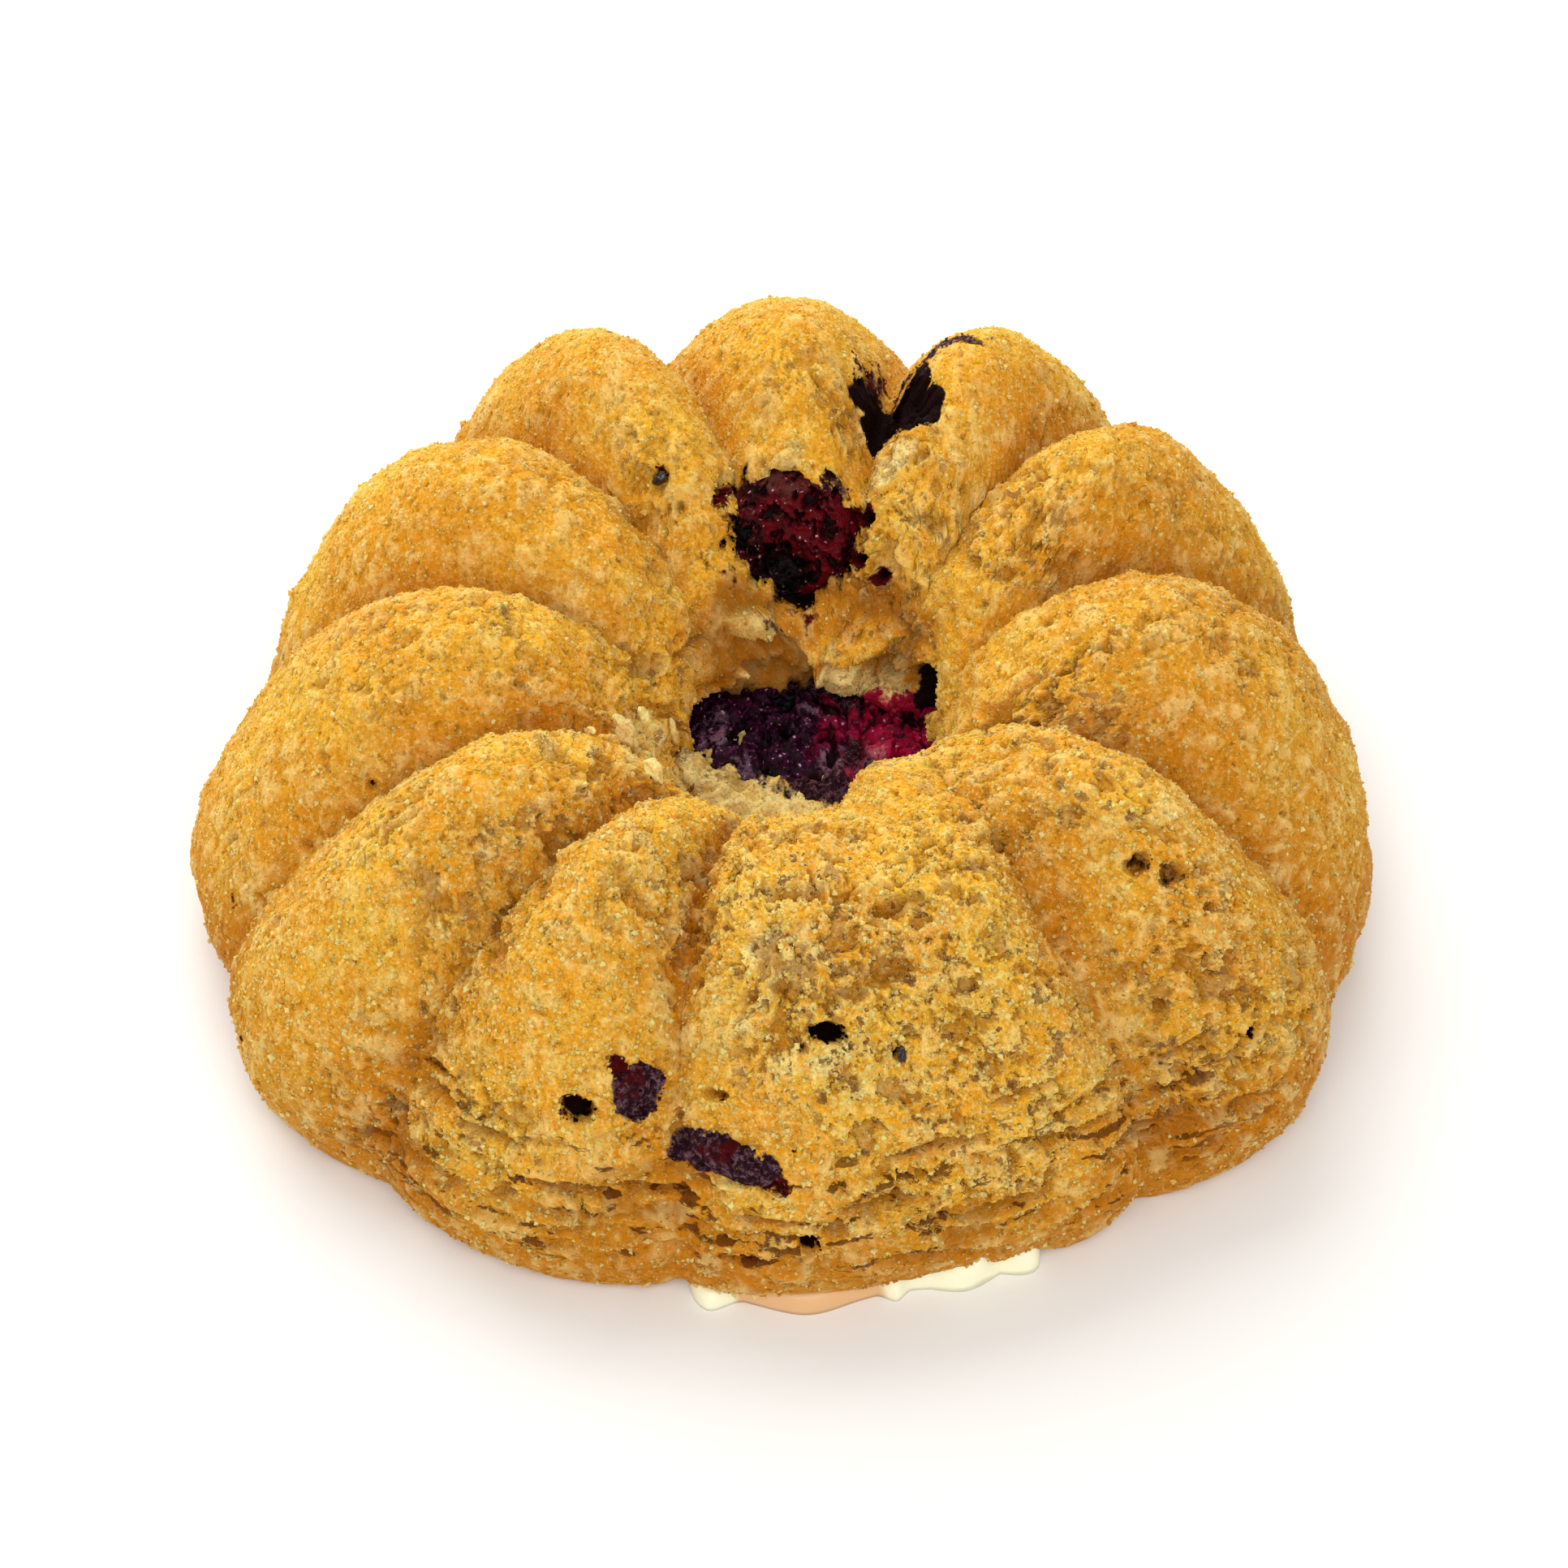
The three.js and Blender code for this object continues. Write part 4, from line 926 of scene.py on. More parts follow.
def finish_sponge():
    """Points and attributes of the sponge's rings."""
    smooth = sponge_point(ANGLES, STATIONS)
    _, _, normal = surface_axes(ANGLES, np.minimum(STATIONS, 3.98))
    height, torn, layers = large_relief(smooth, ANGLES, STATIONS)
    relief = fine_relief(smooth, ANGLES, STATIONS, torn, layers)
    fine, pore, openness, clumps, holes = relief
    ragged = layered_noise(smooth, 1.7, 101, 3)
    lumps = spots(smooth, LUMPS, 0.4 * ragged, 0.25)
    bites = spots(smooth, BITES, 0.25 * ragged, 0.2)
    settle = np.clip((4 - STATIONS) * 2, 0, 1)
    lift = (height + fine + lumps - bites - SKIN_IN) * settle
    points = smooth + lift[:, None] * normal
    points, hollow = dig_crust_hollows(points, smooth, ragged)
    points = dig_well_hollows(points, smooth, STATIONS, ragged, np.clip(lumps * 1.4, 0, 1))
    points = fill_well(points, smooth, STATIONS, ragged)
    _, icing_height, spill, _ = icing_edge(ANGLES)
    foot = spill * icing_height * FOOT_LIFT
    low = (points[:, 2] < BELLY_Z) & (STATIONS > 2)
    squeezed = foot + points[:, 2] * (BELLY_Z - foot) / BELLY_Z
    points[:, 2] = np.where(low, squeezed, points[:, 2])
    looks = sponge_looks(smooth, ANGLES, STATIONS, torn, ragged)
    # Painted shade: the crevices between the clumps on the wall behind the fruit are browned,
    # greyed and darkened like pores.
    behind = band(STATIONS, 1.0, 1.36, 0.05) * ease(np.abs(ANGLES), 122, 134)
    painted_crevice_shade = behind * (1 - np.clip(1.3 * lumps, 0, 1))  # between the clumps behind the fruit
    looks["toast_and_shade"] = np.maximum(looks["toast_and_shade"], 0.9 * painted_crevice_shade)
    looks["olive"] = np.maximum(looks["olive"], 0.7 * painted_crevice_shade)
    pore = np.maximum(pore, painted_crevice_shade)
    # Painted shade: holes and bites deeper than about 1.2 mm and the hollows over fruit in the
    # crust go near-black inside; over the fruit this also stands for its juice.
    deep = np.maximum(hollow, ease(np.maximum(holes, bites), 1.2, 2.0))
    looks["dark"] = np.maximum(looks["dark"], 0.9 * deep)
    looks["pore"] = pore
    # Painted light and shade: raised clumps go towards the tip colour, low ones towards amber.
    looks["shade"] = 0.5 * np.clip(clumps, -1, 1)
    looks["layers"] = layers
    looks["open"] = openness
    return points, looks


def close_sponge(points, looks):
    """Adds the underside: the edge of the recess, its roof and the two poles."""
    angle = ANGLES[-COLUMNS:]
    radius, icing_height, spill, rim = icing_edge(angle)
    edge = np.minimum(radius + GAP, rim - 0.8)
    across = np.stack([np.sin(np.radians(angle)), -np.cos(np.radians(angle))], axis=1)
    foot = spill * icing_height * FOOT_LIFT
    roof = ICING["thick"] + GAP
    rings = np.split(points, np.cumsum(RING_COUNTS)[:-1])
    rings.append(np.column_stack([edge[:, None] * across, foot]))
    rings.append(np.column_stack([edge[:, None] * across, np.maximum(foot + 0.05, roof)]))
    points, triangles = loft(rings, points[: RING_COUNTS[0]].mean(axis=0), (0, 0, roof))
    points = np.clip(points, np.array(CAD_LOW) / MM + 0.02, np.array(CAD_HIGH) / MM - 0.02)
    extra = len(points) - len(next(iter(looks.values())))
    looks = {label: np.concatenate([value, np.zeros(extra)]) for label, value in looks.items()}
    return points, triangles, looks


def thin_out(piece, most):
    """Collapses the flattest edges until about the given number of triangles is left."""
    collapse = piece.modifiers.new("thin_out", "DECIMATE")
    collapse.ratio = most / len(piece.data.polygons)
    graph = bpy.context.evaluated_depsgraph_get()
    mesh = bpy.data.meshes.new_from_object(piece.evaluated_get(graph))
    piece.modifiers.clear()
    piece.data = mesh
    mesh.name = piece.name
    mesh.polygons.foreach_set("use_smooth", np.ones(len(mesh.polygons), dtype=bool))


sponge = mesh_object("sponge", *close_sponge(*finish_sponge()))
full_count = len(sponge.data.polygons)
thin_out(sponge, MOST_TRIANGLES)
print("sponge:", full_count, "triangles, thinned to", len(sponge.data.polygons))
print({label: round(float(v.max()), 2) for label, v in read_mesh(sponge, LOOKS)[2].items()})

# %% [markdown]
# ## Writing materials
#
# A material is a small recipe: one call for each node, with its inputs as plain values or as
# another node's output. Colours are named as a baker might, and given as everyday 0 to 255 tones.

# %% Writing materials


def tone(red, green, blue):
    """A 0 to 255 display tone as the linear colour that Blender computes with: divided by 255 and
    raised to about 2.2, by the exact two-part curve."""
    shares = np.array([red, green, blue]) / 255
    linear = np.where(shares <= 0.04045, shares / 12.92, ((shares + 0.055) / 1.055) ** 2.4)
    return (*linear.tolist(), 1.0)


class Recipe:
    """A material under construction."""

    def __init__(self, name):
        self.material = bpy.data.materials.new(name)
        self.material.use_nodes = True
        self.tree = self.material.node_tree
        self.shader = self.tree.nodes["Principled BSDF"]
        self.places = self.put("ShaderNodeTexCoord").outputs["Object"]

    def put(self, kind, inputs=None, **settings):
        """Adds a node, sets its settings, and sets or links its inputs by name or number."""
        node = self.tree.nodes.new(kind)
        for setting, value in settings.items():
            setattr(node, setting, value)
        for key, value in (inputs or {}).items():
            self.join(node.inputs[key], value)
        return node

    def join(self, socket, value):
        """Links an output to a socket, or sets the socket's value."""
        if isinstance(value, bpy.types.NodeSocket):
            self.tree.links.new(value, socket)
        else:
            socket.default_value = value

    def noise(self, size, detail=2.0, roughness=0.5, places=None):
        """Noise with features of about size millimetres."""
        inputs = {
            "Vector": places or self.places, "Scale": 1 / (size * MM), "Detail": detail,
            "Roughness": roughness,
        }
        return self.put("ShaderNodeTexNoise", inputs).outputs["Fac"]

    def cells(self, size):
        """Distance to the nearest point of a scatter with cells of about size millimetres."""
        inputs = {"Vector": self.places, "Scale": 1 / (size * MM)}
        return self.put("ShaderNodeTexVoronoi", inputs).outputs["Distance"]

    def attribute(self, name):
        """A float attribute of the mesh."""
        return self.put("ShaderNodeAttribute", attribute_name=name).outputs["Fac"]

    def ramp(self, value, low, high, out_low=0.0, out_high=1.0, smooth=True):
        """Maps low..high to out_low..out_high, eased and clamped."""
        inputs = {0: value, 1: low, 2: high, 3: out_low, 4: out_high}
        kind = "SMOOTHSTEP" if smooth else "LINEAR"
        return self.put("ShaderNodeMapRange", inputs, interpolation_type=kind).outputs[0]

    def sum(self, a, b, how="ADD"):
        """One arithmetic step, a sum unless told otherwise."""
        return self.put("ShaderNodeMath", {0: a, 1: b}, operation=how).outputs[0]

    def times(self, a, b):
        """One value times another."""
        return self.sum(a, b, "MULTIPLY")

    def larger(self, a, b):
        """The larger of two values."""
        return self.sum(a, b, "MAXIMUM")

    def mix(self, share, a, b):
        """Two colours mixed by a share."""
        node = self.put("ShaderNodeMix", {0: share, 6: a, 7: b}, data_type="RGBA")
        return node.outputs[2]

    def lay(self, body, *layers):
        """Named tones laid over a colour one after another, each by its own share."""
        for share, name in layers:
            body = self.mix(share, body, TONES[name])
        return body

    def bump(self, height, depth, strength):
        """Bump of the given depth in millimetres."""
        inputs = {"Height": height, "Distance": depth * MM, "Strength": strength}
        return self.put("ShaderNodeBump", inputs).outputs["Normal"]

    def finish(self, **inputs):
        """Sets or links the shader's inputs; an underscore in a name stands for a space."""
        for name, value in inputs.items():
            self.join(self.shader.inputs[name.replace("_", " ")], value)
        return self.material


# The tip colour and the glints are painted highlights, and sheen is painted sheen. The deep brown
# of pores and pits, the brown of slits, and the near-black of holes and of the fruit's pits are
# painted shade. The amber and the toasted brown are partly the crumb's own colour and partly
# painted shade.
TONES = {
    "tip": tone(255, 240, 164), "gold": tone(248, 188, 54), "honey": tone(238, 166, 36),
    "amber": tone(206, 130, 8), "deep": tone(122, 56, 1), "toast_and_shade": tone(180, 102, 4),
    "cream": tone(255, 238, 166), "olive": tone(180, 138, 44), "veil": tone(250, 200, 110),
    "hole": tone(20, 4, 3), "violet": tone(38, 12, 22), "mauve": tone(112, 80, 90),
    "wine": tone(70, 4, 8), "rose": tone(112, 20, 36), "black": tone(8, 2, 4),
    "crimson": tone(160, 10, 58), "bloom": tone(130, 96, 116), "icing": tone(255, 250, 214),
    "film": tone(228, 180, 128), "plum": tone(34, 3, 22), "sheen": tone(74, 62, 68),
    "purple": tone(104, 26, 84), "blush": tone(170, 92, 104), "clay": tone(96, 50, 46),
    "slit_shade": tone(92, 38, 4), "garnet": tone(86, 3, 14), "glint": tone(206, 188, 206),
}
print(len(TONES), "tones")

# %% [markdown]
# ## Crumb
#
# Sponge is a foam of thin, translucent walls. Its tips catch the light and go nearly cream, its
# body is golden, and its pores go amber to brown because the light has crossed several walls. That
# light and shade is painted into the colour, which follows height: one fine grain drives both the
# bump and the change from amber, which is painted shade, to tip, which is painted highlight. Slow
# noise shifts whole areas, and the attributes from the mesh darken pores with painted shade, brown
# the crust, partly as painted shade, pale the torn places and stain the crumb near fruit.
#
# Openings finer than the mesh are in the material too, drawn as painted shade. A pit is layered
# noise cut off at a level, with a light rim that is a painted highlight, and a slit is the same
# noise squeezed flat. Some of the light wanders a fraction of a millimetre through the crumb before
# it comes out. That softens the grain and keeps the shadows golden: without it, crumb looks like
# sand. The loose crumbs wear the same material, and differ only in their shade.

# %% Crumb
GRAIN = {  # size in millimetres of each pattern
    "fine": 0.26, "specks": 0.5, "creases": 0.55, "small pits": 0.7, "blotches": 1.1,
    "pits": 1.5, "patches": 2.4, "slits": 4.2, "veils": 4.5, "slow": 9.0,
}
SLIT_FLATNESS = 4.2
GLOW = {"share": 0.5, "reach": (1.0, 0.5, 0.12), "scale": 0.8}  # light through the crumb, in mm


def make_crumb():
    """Crumb: tones laid over each other, each by a ramp of a pattern or of an attribute. Blotches
    are added to the attributes first, so that no tint ends in a clean edge."""
    recipe = Recipe("crumb")
    ramp, times, plus = recipe.ramp, recipe.times, recipe.sum
    share = {label: recipe.attribute(label) for label in LOOKS}
    crease = ramp(recipe.cells(GRAIN["creases"]), 0.28, 0.62)
    grain = recipe.noise(GRAIN["fine"], detail=3.0, roughness=0.65)
    grain = plus(grain, times(crease, -0.10))
    slow = recipe.noise(GRAIN["slow"], detail=3.0, roughness=0.6)
    patchy = recipe.noise(GRAIN["patches"], detail=3.0, roughness=0.6)
    veil = recipe.noise(GRAIN["veils"])
    edge = recipe.noise(GRAIN["blotches"], detail=3.0, roughness=0.65)
    edge = times(plus(edge, -0.5), 1.6)
    lifted = ramp(share["toast_and_shade"], 0.2, 1.0, 1.0, 0.4)
    body = recipe.lay(
        recipe.mix(ramp(slow, 0.38, 0.62), TONES["gold"], TONES["honey"]),
        # Browned crust, and partly painted shade low down, in the grooves, on the right and on the
        # far wall of the well.
        (times(share["toast_and_shade"], 0.85), "toast_and_shade"),
        (ramp(patchy, 0.48, 0.72, 0.0, 0.35), "amber"),
        (ramp(veil, 0.58, 0.72, 0.0, 0.2), "veil"),
        (ramp(plus(share["pale"], edge), 0.25, 1.15, 0.0, 0.8), "cream"),
        (ramp(plus(share["olive"], edge), 0.2, 1.1, 0.0, 0.7), "olive"),
        # Painted shade and highlight: amber in the low grain and low clumps, the tip colour on
        # raised grain and raised clumps.
        (ramp(grain, 0.24, 0.45, 0.6, 0.0), "amber"),
        (times(ramp(grain, 0.46, 0.64, 0.0, 0.46), lifted), "tip"),
        (ramp(share["shade"], 0.0, 1.0, 0.0, 0.7), "tip"),
        (ramp(share["shade"], -1.0, 0.0, 0.6, 0.0), "amber"),
    )
    torn = recipe.noise(GRAIN["pits"], detail=4.0, roughness=0.62)
    small = recipe.noise(GRAIN["small pits"], detail=3.0, roughness=0.6)
    opening = ramp(share["open"], 0.1, 0.9)
    pit = times(ramp(torn, 0.36, 0.395, 1.0, 0.0), opening)
    small = times(ramp(small, 0.32, 0.35, 1.0, 0.0), ramp(share["open"], 0.0, 0.8, 0.3, 0.8))
    pit = recipe.larger(pit, small)
    squeezed = (1.0, 1.0, SLIT_FLATNESS)
    flat = recipe.put("ShaderNodeMapping", {0: recipe.places, 3: squeezed}).outputs[0]
    slit = recipe.noise(GRAIN["slits"], detail=4.0, roughness=0.6, places=flat)
    slit = times(ramp(slit, 0.385, 0.425, 1.0, 0.0), share["layers"])
    body = recipe.lay(
        body,
        # Painted highlight on the rims of pits, then painted shade in pores, pits and slits.
        (times(ramp(torn, 0.38, 0.46, 0.3, 0.0), opening), "tip"),
        (times(share["pore"], 0.42), "deep"),
        (times(pit, 0.8), "deep"),
        (times(slit, 0.85), "slit_shade"),
    )
    specks = recipe.noise(GRAIN["specks"], detail=3.0, roughness=0.75)
    overlay = recipe.mix(ramp(specks, 0.46, 0.66), TONES["violet"], TONES["mauve"])
    body = recipe.mix(ramp(plus(share["violet"], edge), 0.4, 0.75), body, overlay)
    body = recipe.lay(
        body,
        (ramp(plus(share["wine"], edge), 0.45, 0.8), "wine"),
        (ramp(plus(share["crimson"], edge), 0.3, 0.8, 0.0, 0.9), "crimson"),
        # Painted shade: near-black in deep holes and hollows, and over fruit also its juice.
        (ramp(plus(share["dark"], times(edge, 0.5)), 0.25, 0.55), "hole"),
    )
    depth = recipe.larger(pit, times(slit, 1.3))
    height = plus(times(grain, 0.36), times(depth, -0.3))
    return recipe.finish(
        Base_Color=body, Roughness=0.6, Normal=recipe.bump(height, 1.0, 0.8),
        Specular_IOR_Level=0.06, Subsurface_Weight=GLOW["share"],
        Subsurface_Radius=GLOW["reach"], Subsurface_Scale=GLOW["scale"] * MM,
    )


def dress(piece, material, node):
    """Gives a piece its material and the body that it rides on, and, where it takes the
    place of a solid, hides that solid."""
    piece.data.materials.append(material)
    if node:
        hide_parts(node)
    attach(piece, "root")


crumb = make_crumb()
dress(sponge, crumb, "cake")
print("crumb recipe has", len(crumb.node_tree.nodes), "nodes")

# %% [markdown]
# ## Fruit
#
# Baked berries collapse: the skin wrinkles and tears, and the flesh inside dries to wet threads
# round dark pits. Each piece is a ball whose radius is dented by noise, stretched to the size of
# its solid, with its poles turned sideways so that no pinch shows from outside. The ones in the
# crust were torn open with it, so their outer face is pressed flat at a level under the skin.
#
# The two patches at the front are crumb soaked in juice. They wear the crumb's own material with
# the stain's attributes, so that they run into the sponge without an edge.

# %% Fruit
FRUIT_GRID = (240, 160)  # columns and rows of each ball
WELL_BLOOM = [  # x, y, half sizes and strength of dull spots on the pulp
    (-6.0, 3.8, 1.8, 3.0, 0.8), (5.2, 1.2, 3.0, 1.8, 1.1), (-3.4, 0.2, 2.6, 1.2, 0.7),
    (1.0, 3.6, 1.2, 1.8, 0.3), (2.6, 6.4, 2.2, 1.0, 0.6), (10.0, 5.6, 1.2, 1.4, 0.25),
]


def ball(columns, rows):
    """Directions over a unit ball with its poles on the X axis, and its triangles."""
    lat = np.linspace(0, np.pi, rows + 2)[1:-1, None]
    lon = np.arange(columns) * 2 * np.pi / columns
    grid = [np.cos(lat) + 0 * lon, np.sin(lat) * np.cos(lon), np.sin(lat) * np.sin(lon)]
    return loft(list(np.stack(grid, axis=-1)), (1, 0, 0), (-1, 0, 0))


def skin_relief(local):
    """Glossy skin: folds across the berry, near-black between them as painted shade, a shallow
    dent, and two strokes of painted sheen.
    """
    folds = np.abs(np.sin(local[:, 1] * 2.6 + local[:, 0] * 0.8 + 1.2 * noise(local, 2.0, 121)))
    overlay = np.zeros(len(local))
    # Painted sheen: two pale strokes laid on the dark skin as a tone.
    for x, y in ((-0.1, 0.9), (0.8, 1.9)):  # two strokes of sheen, parallel and slanting
        along = 0.45 * (local[:, 1] - y) - 0.9 * (local[:, 0] - x)
        across = 0.9 * (local[:, 1] - y) + 0.45 * (local[:, 0] - x)
        overlay = np.maximum(overlay, hill(across, 0.3) * (1 - ease(np.abs(along), 0.6, 1.3)))
    redness = ease(-local[:, 1], 0.8, 2.6)
    return 0.1 + 0.3 * folds + 0.35 * noise(local, 2.2, 120), folds, redness, 1.4 * overlay


def flesh_relief(local):
    """Torn flesh: dark pits with ragged edges, and one large hollow at the lower left as seen
    from the front, where Y points down and X to the left. Their dark is painted shade."""
    bent = local + 0.35 * drift(local, 1.2, 131)
    pits = ease(-layered_noise(bent, 0.8, 134, 4), 0.04, 0.34)
    hollow = 1 - ease(np.hypot(local[:, 0] - 3.0, (local[:, 1] - 2.0) * 1.1), 1.2, 3.6)
    redness = ease(noise(local, 2.4, 145) - local[:, 0] * 0.1, -0.6, 0.5)
    inwards = 0.05 + 1.0 * pits + 1.4 * hollow + 0.2 * noise(local, 0.5, 146)
    raised = (1 - pits) * (1 - 0.85 * hollow)
    overlay = ease(-local[:, 0] - 1.2 * local[:, 1] + 3 * noise(local, 1.0, 147), 2.6, 6.0)
    return inwards, raised, redness * (1 - hollow), overlay


def pulp_relief(places):
    """Pulp in the well, in the well's own places, so that it runs on from berry to berry: wet
    knobs with creases between them, pits with ragged edges and a notch, all three painted
    near-black as shade, and dull bloom in a few spots."""
    bent = places + 0.4 * drift(places, 1.4, 151)
    billows = 1.8 * np.abs(noise(bent, 1.7, 154)) + 0.9 * np.abs(noise(bent, 0.8, 155))
    pits = ease(-layered_noise(bent, 1.8, 159, 4), 0.22, 0.42)
    notch = 1 - ease(np.hypot((places[:, 0] - 2.4) / 1.7, (places[:, 1] + 1.3) / 1.1), 0.7, 1.2)
    gaps = np.maximum(pits, notch)
    inwards = 0.8 - 0.75 * billows + 0.9 * gaps + 0.25 * noise(places, 0.45, 163)
    raised = ease(billows, 0.1, 0.7) * (1 - gaps)
    edge = 0.8 * noise(places, 1.6, 166)
    redness = ease(places[:, 0] + 3.2 * edge - 0.2 * places[:, 1], 0.6, 5.4)
    bloom = np.zeros(len(places))
    for x, y, half_x, half_y, strength in WELL_BLOOM:
        away = np.hypot((places[:, 0] - x) / half_x, (places[:, 1] - y) / half_y)
        bloom = np.maximum(bloom, strength * (1 - ease(away + 0.4 * edge, 0.6, 1.2)))
    return inwards, raised, redness, bloom


def soaked_relief(local):
    """Soaked crumb: grainy, with open pores."""
    bent = local + 0.25 * drift(local, 0.9, 171)
    away, _ = bubbles(bent, 1.3, 174, 0.7, 0.15, 0.5)
    pits = 1 - ease(away, -0.2, 0.04)
    inwards = 0.1 + 0.7 * pits + 0.3 * noise(local, 0.6, 179) + 0.15 * noise(local, 0.3, 180)
    redness = ease(noise(local, 1.8, 181) - 0.12 * local[:, 0], 0.0, 0.5)
    return inwards, 1 - pits, redness, 0 * pits


def fruit_points(fruit, relief):
    """A ball in the fruit's frame, its outer face pressed to the level of the torn face, then
    dented along Z by the relief: more on top than at the sides, so the outline stays. A squeezed
    ball has its directions divided by (|x|^n + |y|^n + |z|^n)^(1/n) first."""
    directions, triangles = ball(*FRUIT_GRID)
    centre, axes = fruit_frame(fruit)
    local = directions * np.array(fruit["size"])
    if "face" in fruit:
        level = fruit["sink"] + fruit["face"]
        over = np.maximum(local[:, 2] - level, 0)
        local[:, 2] = local[:, 2] - 0.9 * over
    else:
        boxy = (np.abs(directions) ** SQUEEZED).sum(axis=1) ** (1 / SQUEEZED)
        local = local / boxy[:, None]
    places = local + centre if "centre" in fruit else local
    inwards, *looks = relief(places)
    share = np.clip(directions[:, 2], 0, 1) ** 0.5
    local[:, 2] = local[:, 2] - np.maximum(inwards, -0.1) * share
    return centre + local @ axes.T, triangles, dict(zip(("raised", "redness", "overlay"), looks))


def make_flesh(name, dark, red, streak, pale, gloss, coat):
    """Fruit flesh: nearly black in the pits, as painted shade, its own colour on what is raised,
    streaks of a lighter colour on the finest grain, a paler, rougher overlay where the points say
    so, and small glints. The overlay is dust and dull bloom on most fruit and painted sheen on the
    dark fruit. The glints are a tone and not a reflection, which would lay a grey veil over dark
    fruit."""
    recipe = Recipe(name)
    ramp, times, plus = recipe.ramp, recipe.times, recipe.sum
    raised, overlay = recipe.attribute("raised"), recipe.attribute("overlay")
    fine = recipe.noise(0.4, detail=3.0, roughness=0.65)
    broad = recipe.noise(1.2, detail=3.0, roughness=0.6)
    glint = ramp(recipe.noise(0.4, detail=1.0), 0.68, 0.76)
    redness = ramp(recipe.attribute("redness"), 0.1, 0.9)
    dust_and_sheen = times(plus(plus(fine, broad), -1.0), 4.0)
    dust_and_sheen = ramp(plus(dust_and_sheen, overlay), 0.3, 1.2, 0.0, 0.85)
    body = recipe.lay(
        recipe.mix(redness, TONES[dark], TONES[red]),
        (ramp(broad, 0.42, 0.62, 0.0, 0.6), "black"),
        (times(times(ramp(fine, 0.50, 0.64), raised), 0.6), streak),
        # Dust and bloom on most fruit, and painted sheen on the dark fruit.
        (times(dust_and_sheen, overlay), pale),
        # Painted shade: black wherever nothing is raised, in pits, creases, gaps and hollows.
        (ramp(raised, 0.0, 0.5, 0.9, 0.0), "black"),
        (times(times(glint, raised), 0.7), "glint"),
    )
    rough = plus(ramp(fine, 0.35, 0.7, gloss, gloss + 0.25), dust_and_sheen)
    return recipe.finish(
        Base_Color=body, Roughness=ramp(rough, 0.0, 0.8, 0.0, 0.8, smooth=False),
        Normal=recipe.bump(plus(fine, times(broad, 0.5)), 0.35, 0.8),
        Coat_Weight=coat, Coat_Roughness=0.12, Specular_IOR_Level=0.05,
    )


# In the dust column are dust and dull bloom, and for the rear berry painted sheen.
FRUIT_LOOKS = {  # relief, dark, red, streak, dust, roughness, coat, slot
    "rear_berry": (skin_relief, "black", "wine", "hole", "sheen", 0.2, 0.05, "dark_fruit"),
    "wall_berry": (flesh_relief, "hole", "garnet", "rose", "clay", 0.3, 0.03, "red_fruit"),
    "well_berry_left": (
        pulp_relief, "plum", "crimson", "purple", "bloom", 0.3, 0.05, "violet_fruit",
    ),
    "well_berry_right": (
        pulp_relief, "plum", "crimson", "rose", "blush", 0.3, 0.05, "crimson_fruit",
    ),
}
for name, (relief, *finish, slot_name) in FRUIT_LOOKS.items():
    points, triangles, looks = fruit_points({**CRUST_FRUIT, **WELL_FRUIT}[name], relief)
    piece = mesh_object(name, points, triangles, looks)
    dress(piece, make_flesh(slot_name, *finish), name)
    print(name, len(triangles), "triangles")

SOAKED = {}
for name in ("side_berry_upper", "side_berry_lower"):
    points, triangles, juice = fruit_points(CRUST_FRUIT[name], soaked_relief)
    looks = {label: np.zeros(len(points)) for label in LOOKS}
    # Painted shade: the pores of the soaked crumb are darkened.
    looks["pore"] = 1 - juice["raised"]
    looks["dark"] = 0.8 * (1 - juice["raised"])
    looks["violet"] = np.ones(len(points))
    looks["wine"] = 0.7 * juice["redness"]
    SOAKED[name] = mesh_object(name, points, triangles, looks)
    dress(SOAKED[name], crumb, name)
    print(name, len(triangles), "triangles")

# %% [markdown]
# ## Icing
#
# Thin sugar icing sets smooth, with a rounded edge and round drips, so it needs no relief of its
# own: a disc whose edge follows the icing line, lofted from rings that round off like a drop.

# %% Icing
ICING_ROUND = 0.9  # radius of the rounded edge
SHOULDER = 4  # the flat top ends this far inside the edge
FILM = (-4, 7)  # between these two places from left to right, the icing is only a thin film


def build_icing():
    """Rings from the middle of the top, over the rounded edge, to the flat underside. At the edge
    the section is a quarter round: out by the sine and up by the cosine of the same angle."""
    angle = np.concatenate([np.arange(-18, 36, 0.25), np.arange(36, 342, 2.0)])
    radius, tall, _, _ = icing_edge(angle)
    across = np.stack([np.sin(np.radians(angle)), -np.cos(np.radians(angle))], axis=1)
    level = np.full(len(angle), ICING["thick"])
    rings = [np.column_stack([(radius - SHOULDER)[:, None] * across, level])]
    for bend in np.linspace(0, np.pi / 2, 10):
        out = radius - ICING_ROUND * (1 - np.sin(bend))
        rings.append(np.column_stack([out[:, None] * across, tall * np.cos(bend) ** 0.8]))
    return loft(rings, (0, 0, ICING["thick"]), (0, 0, 0))


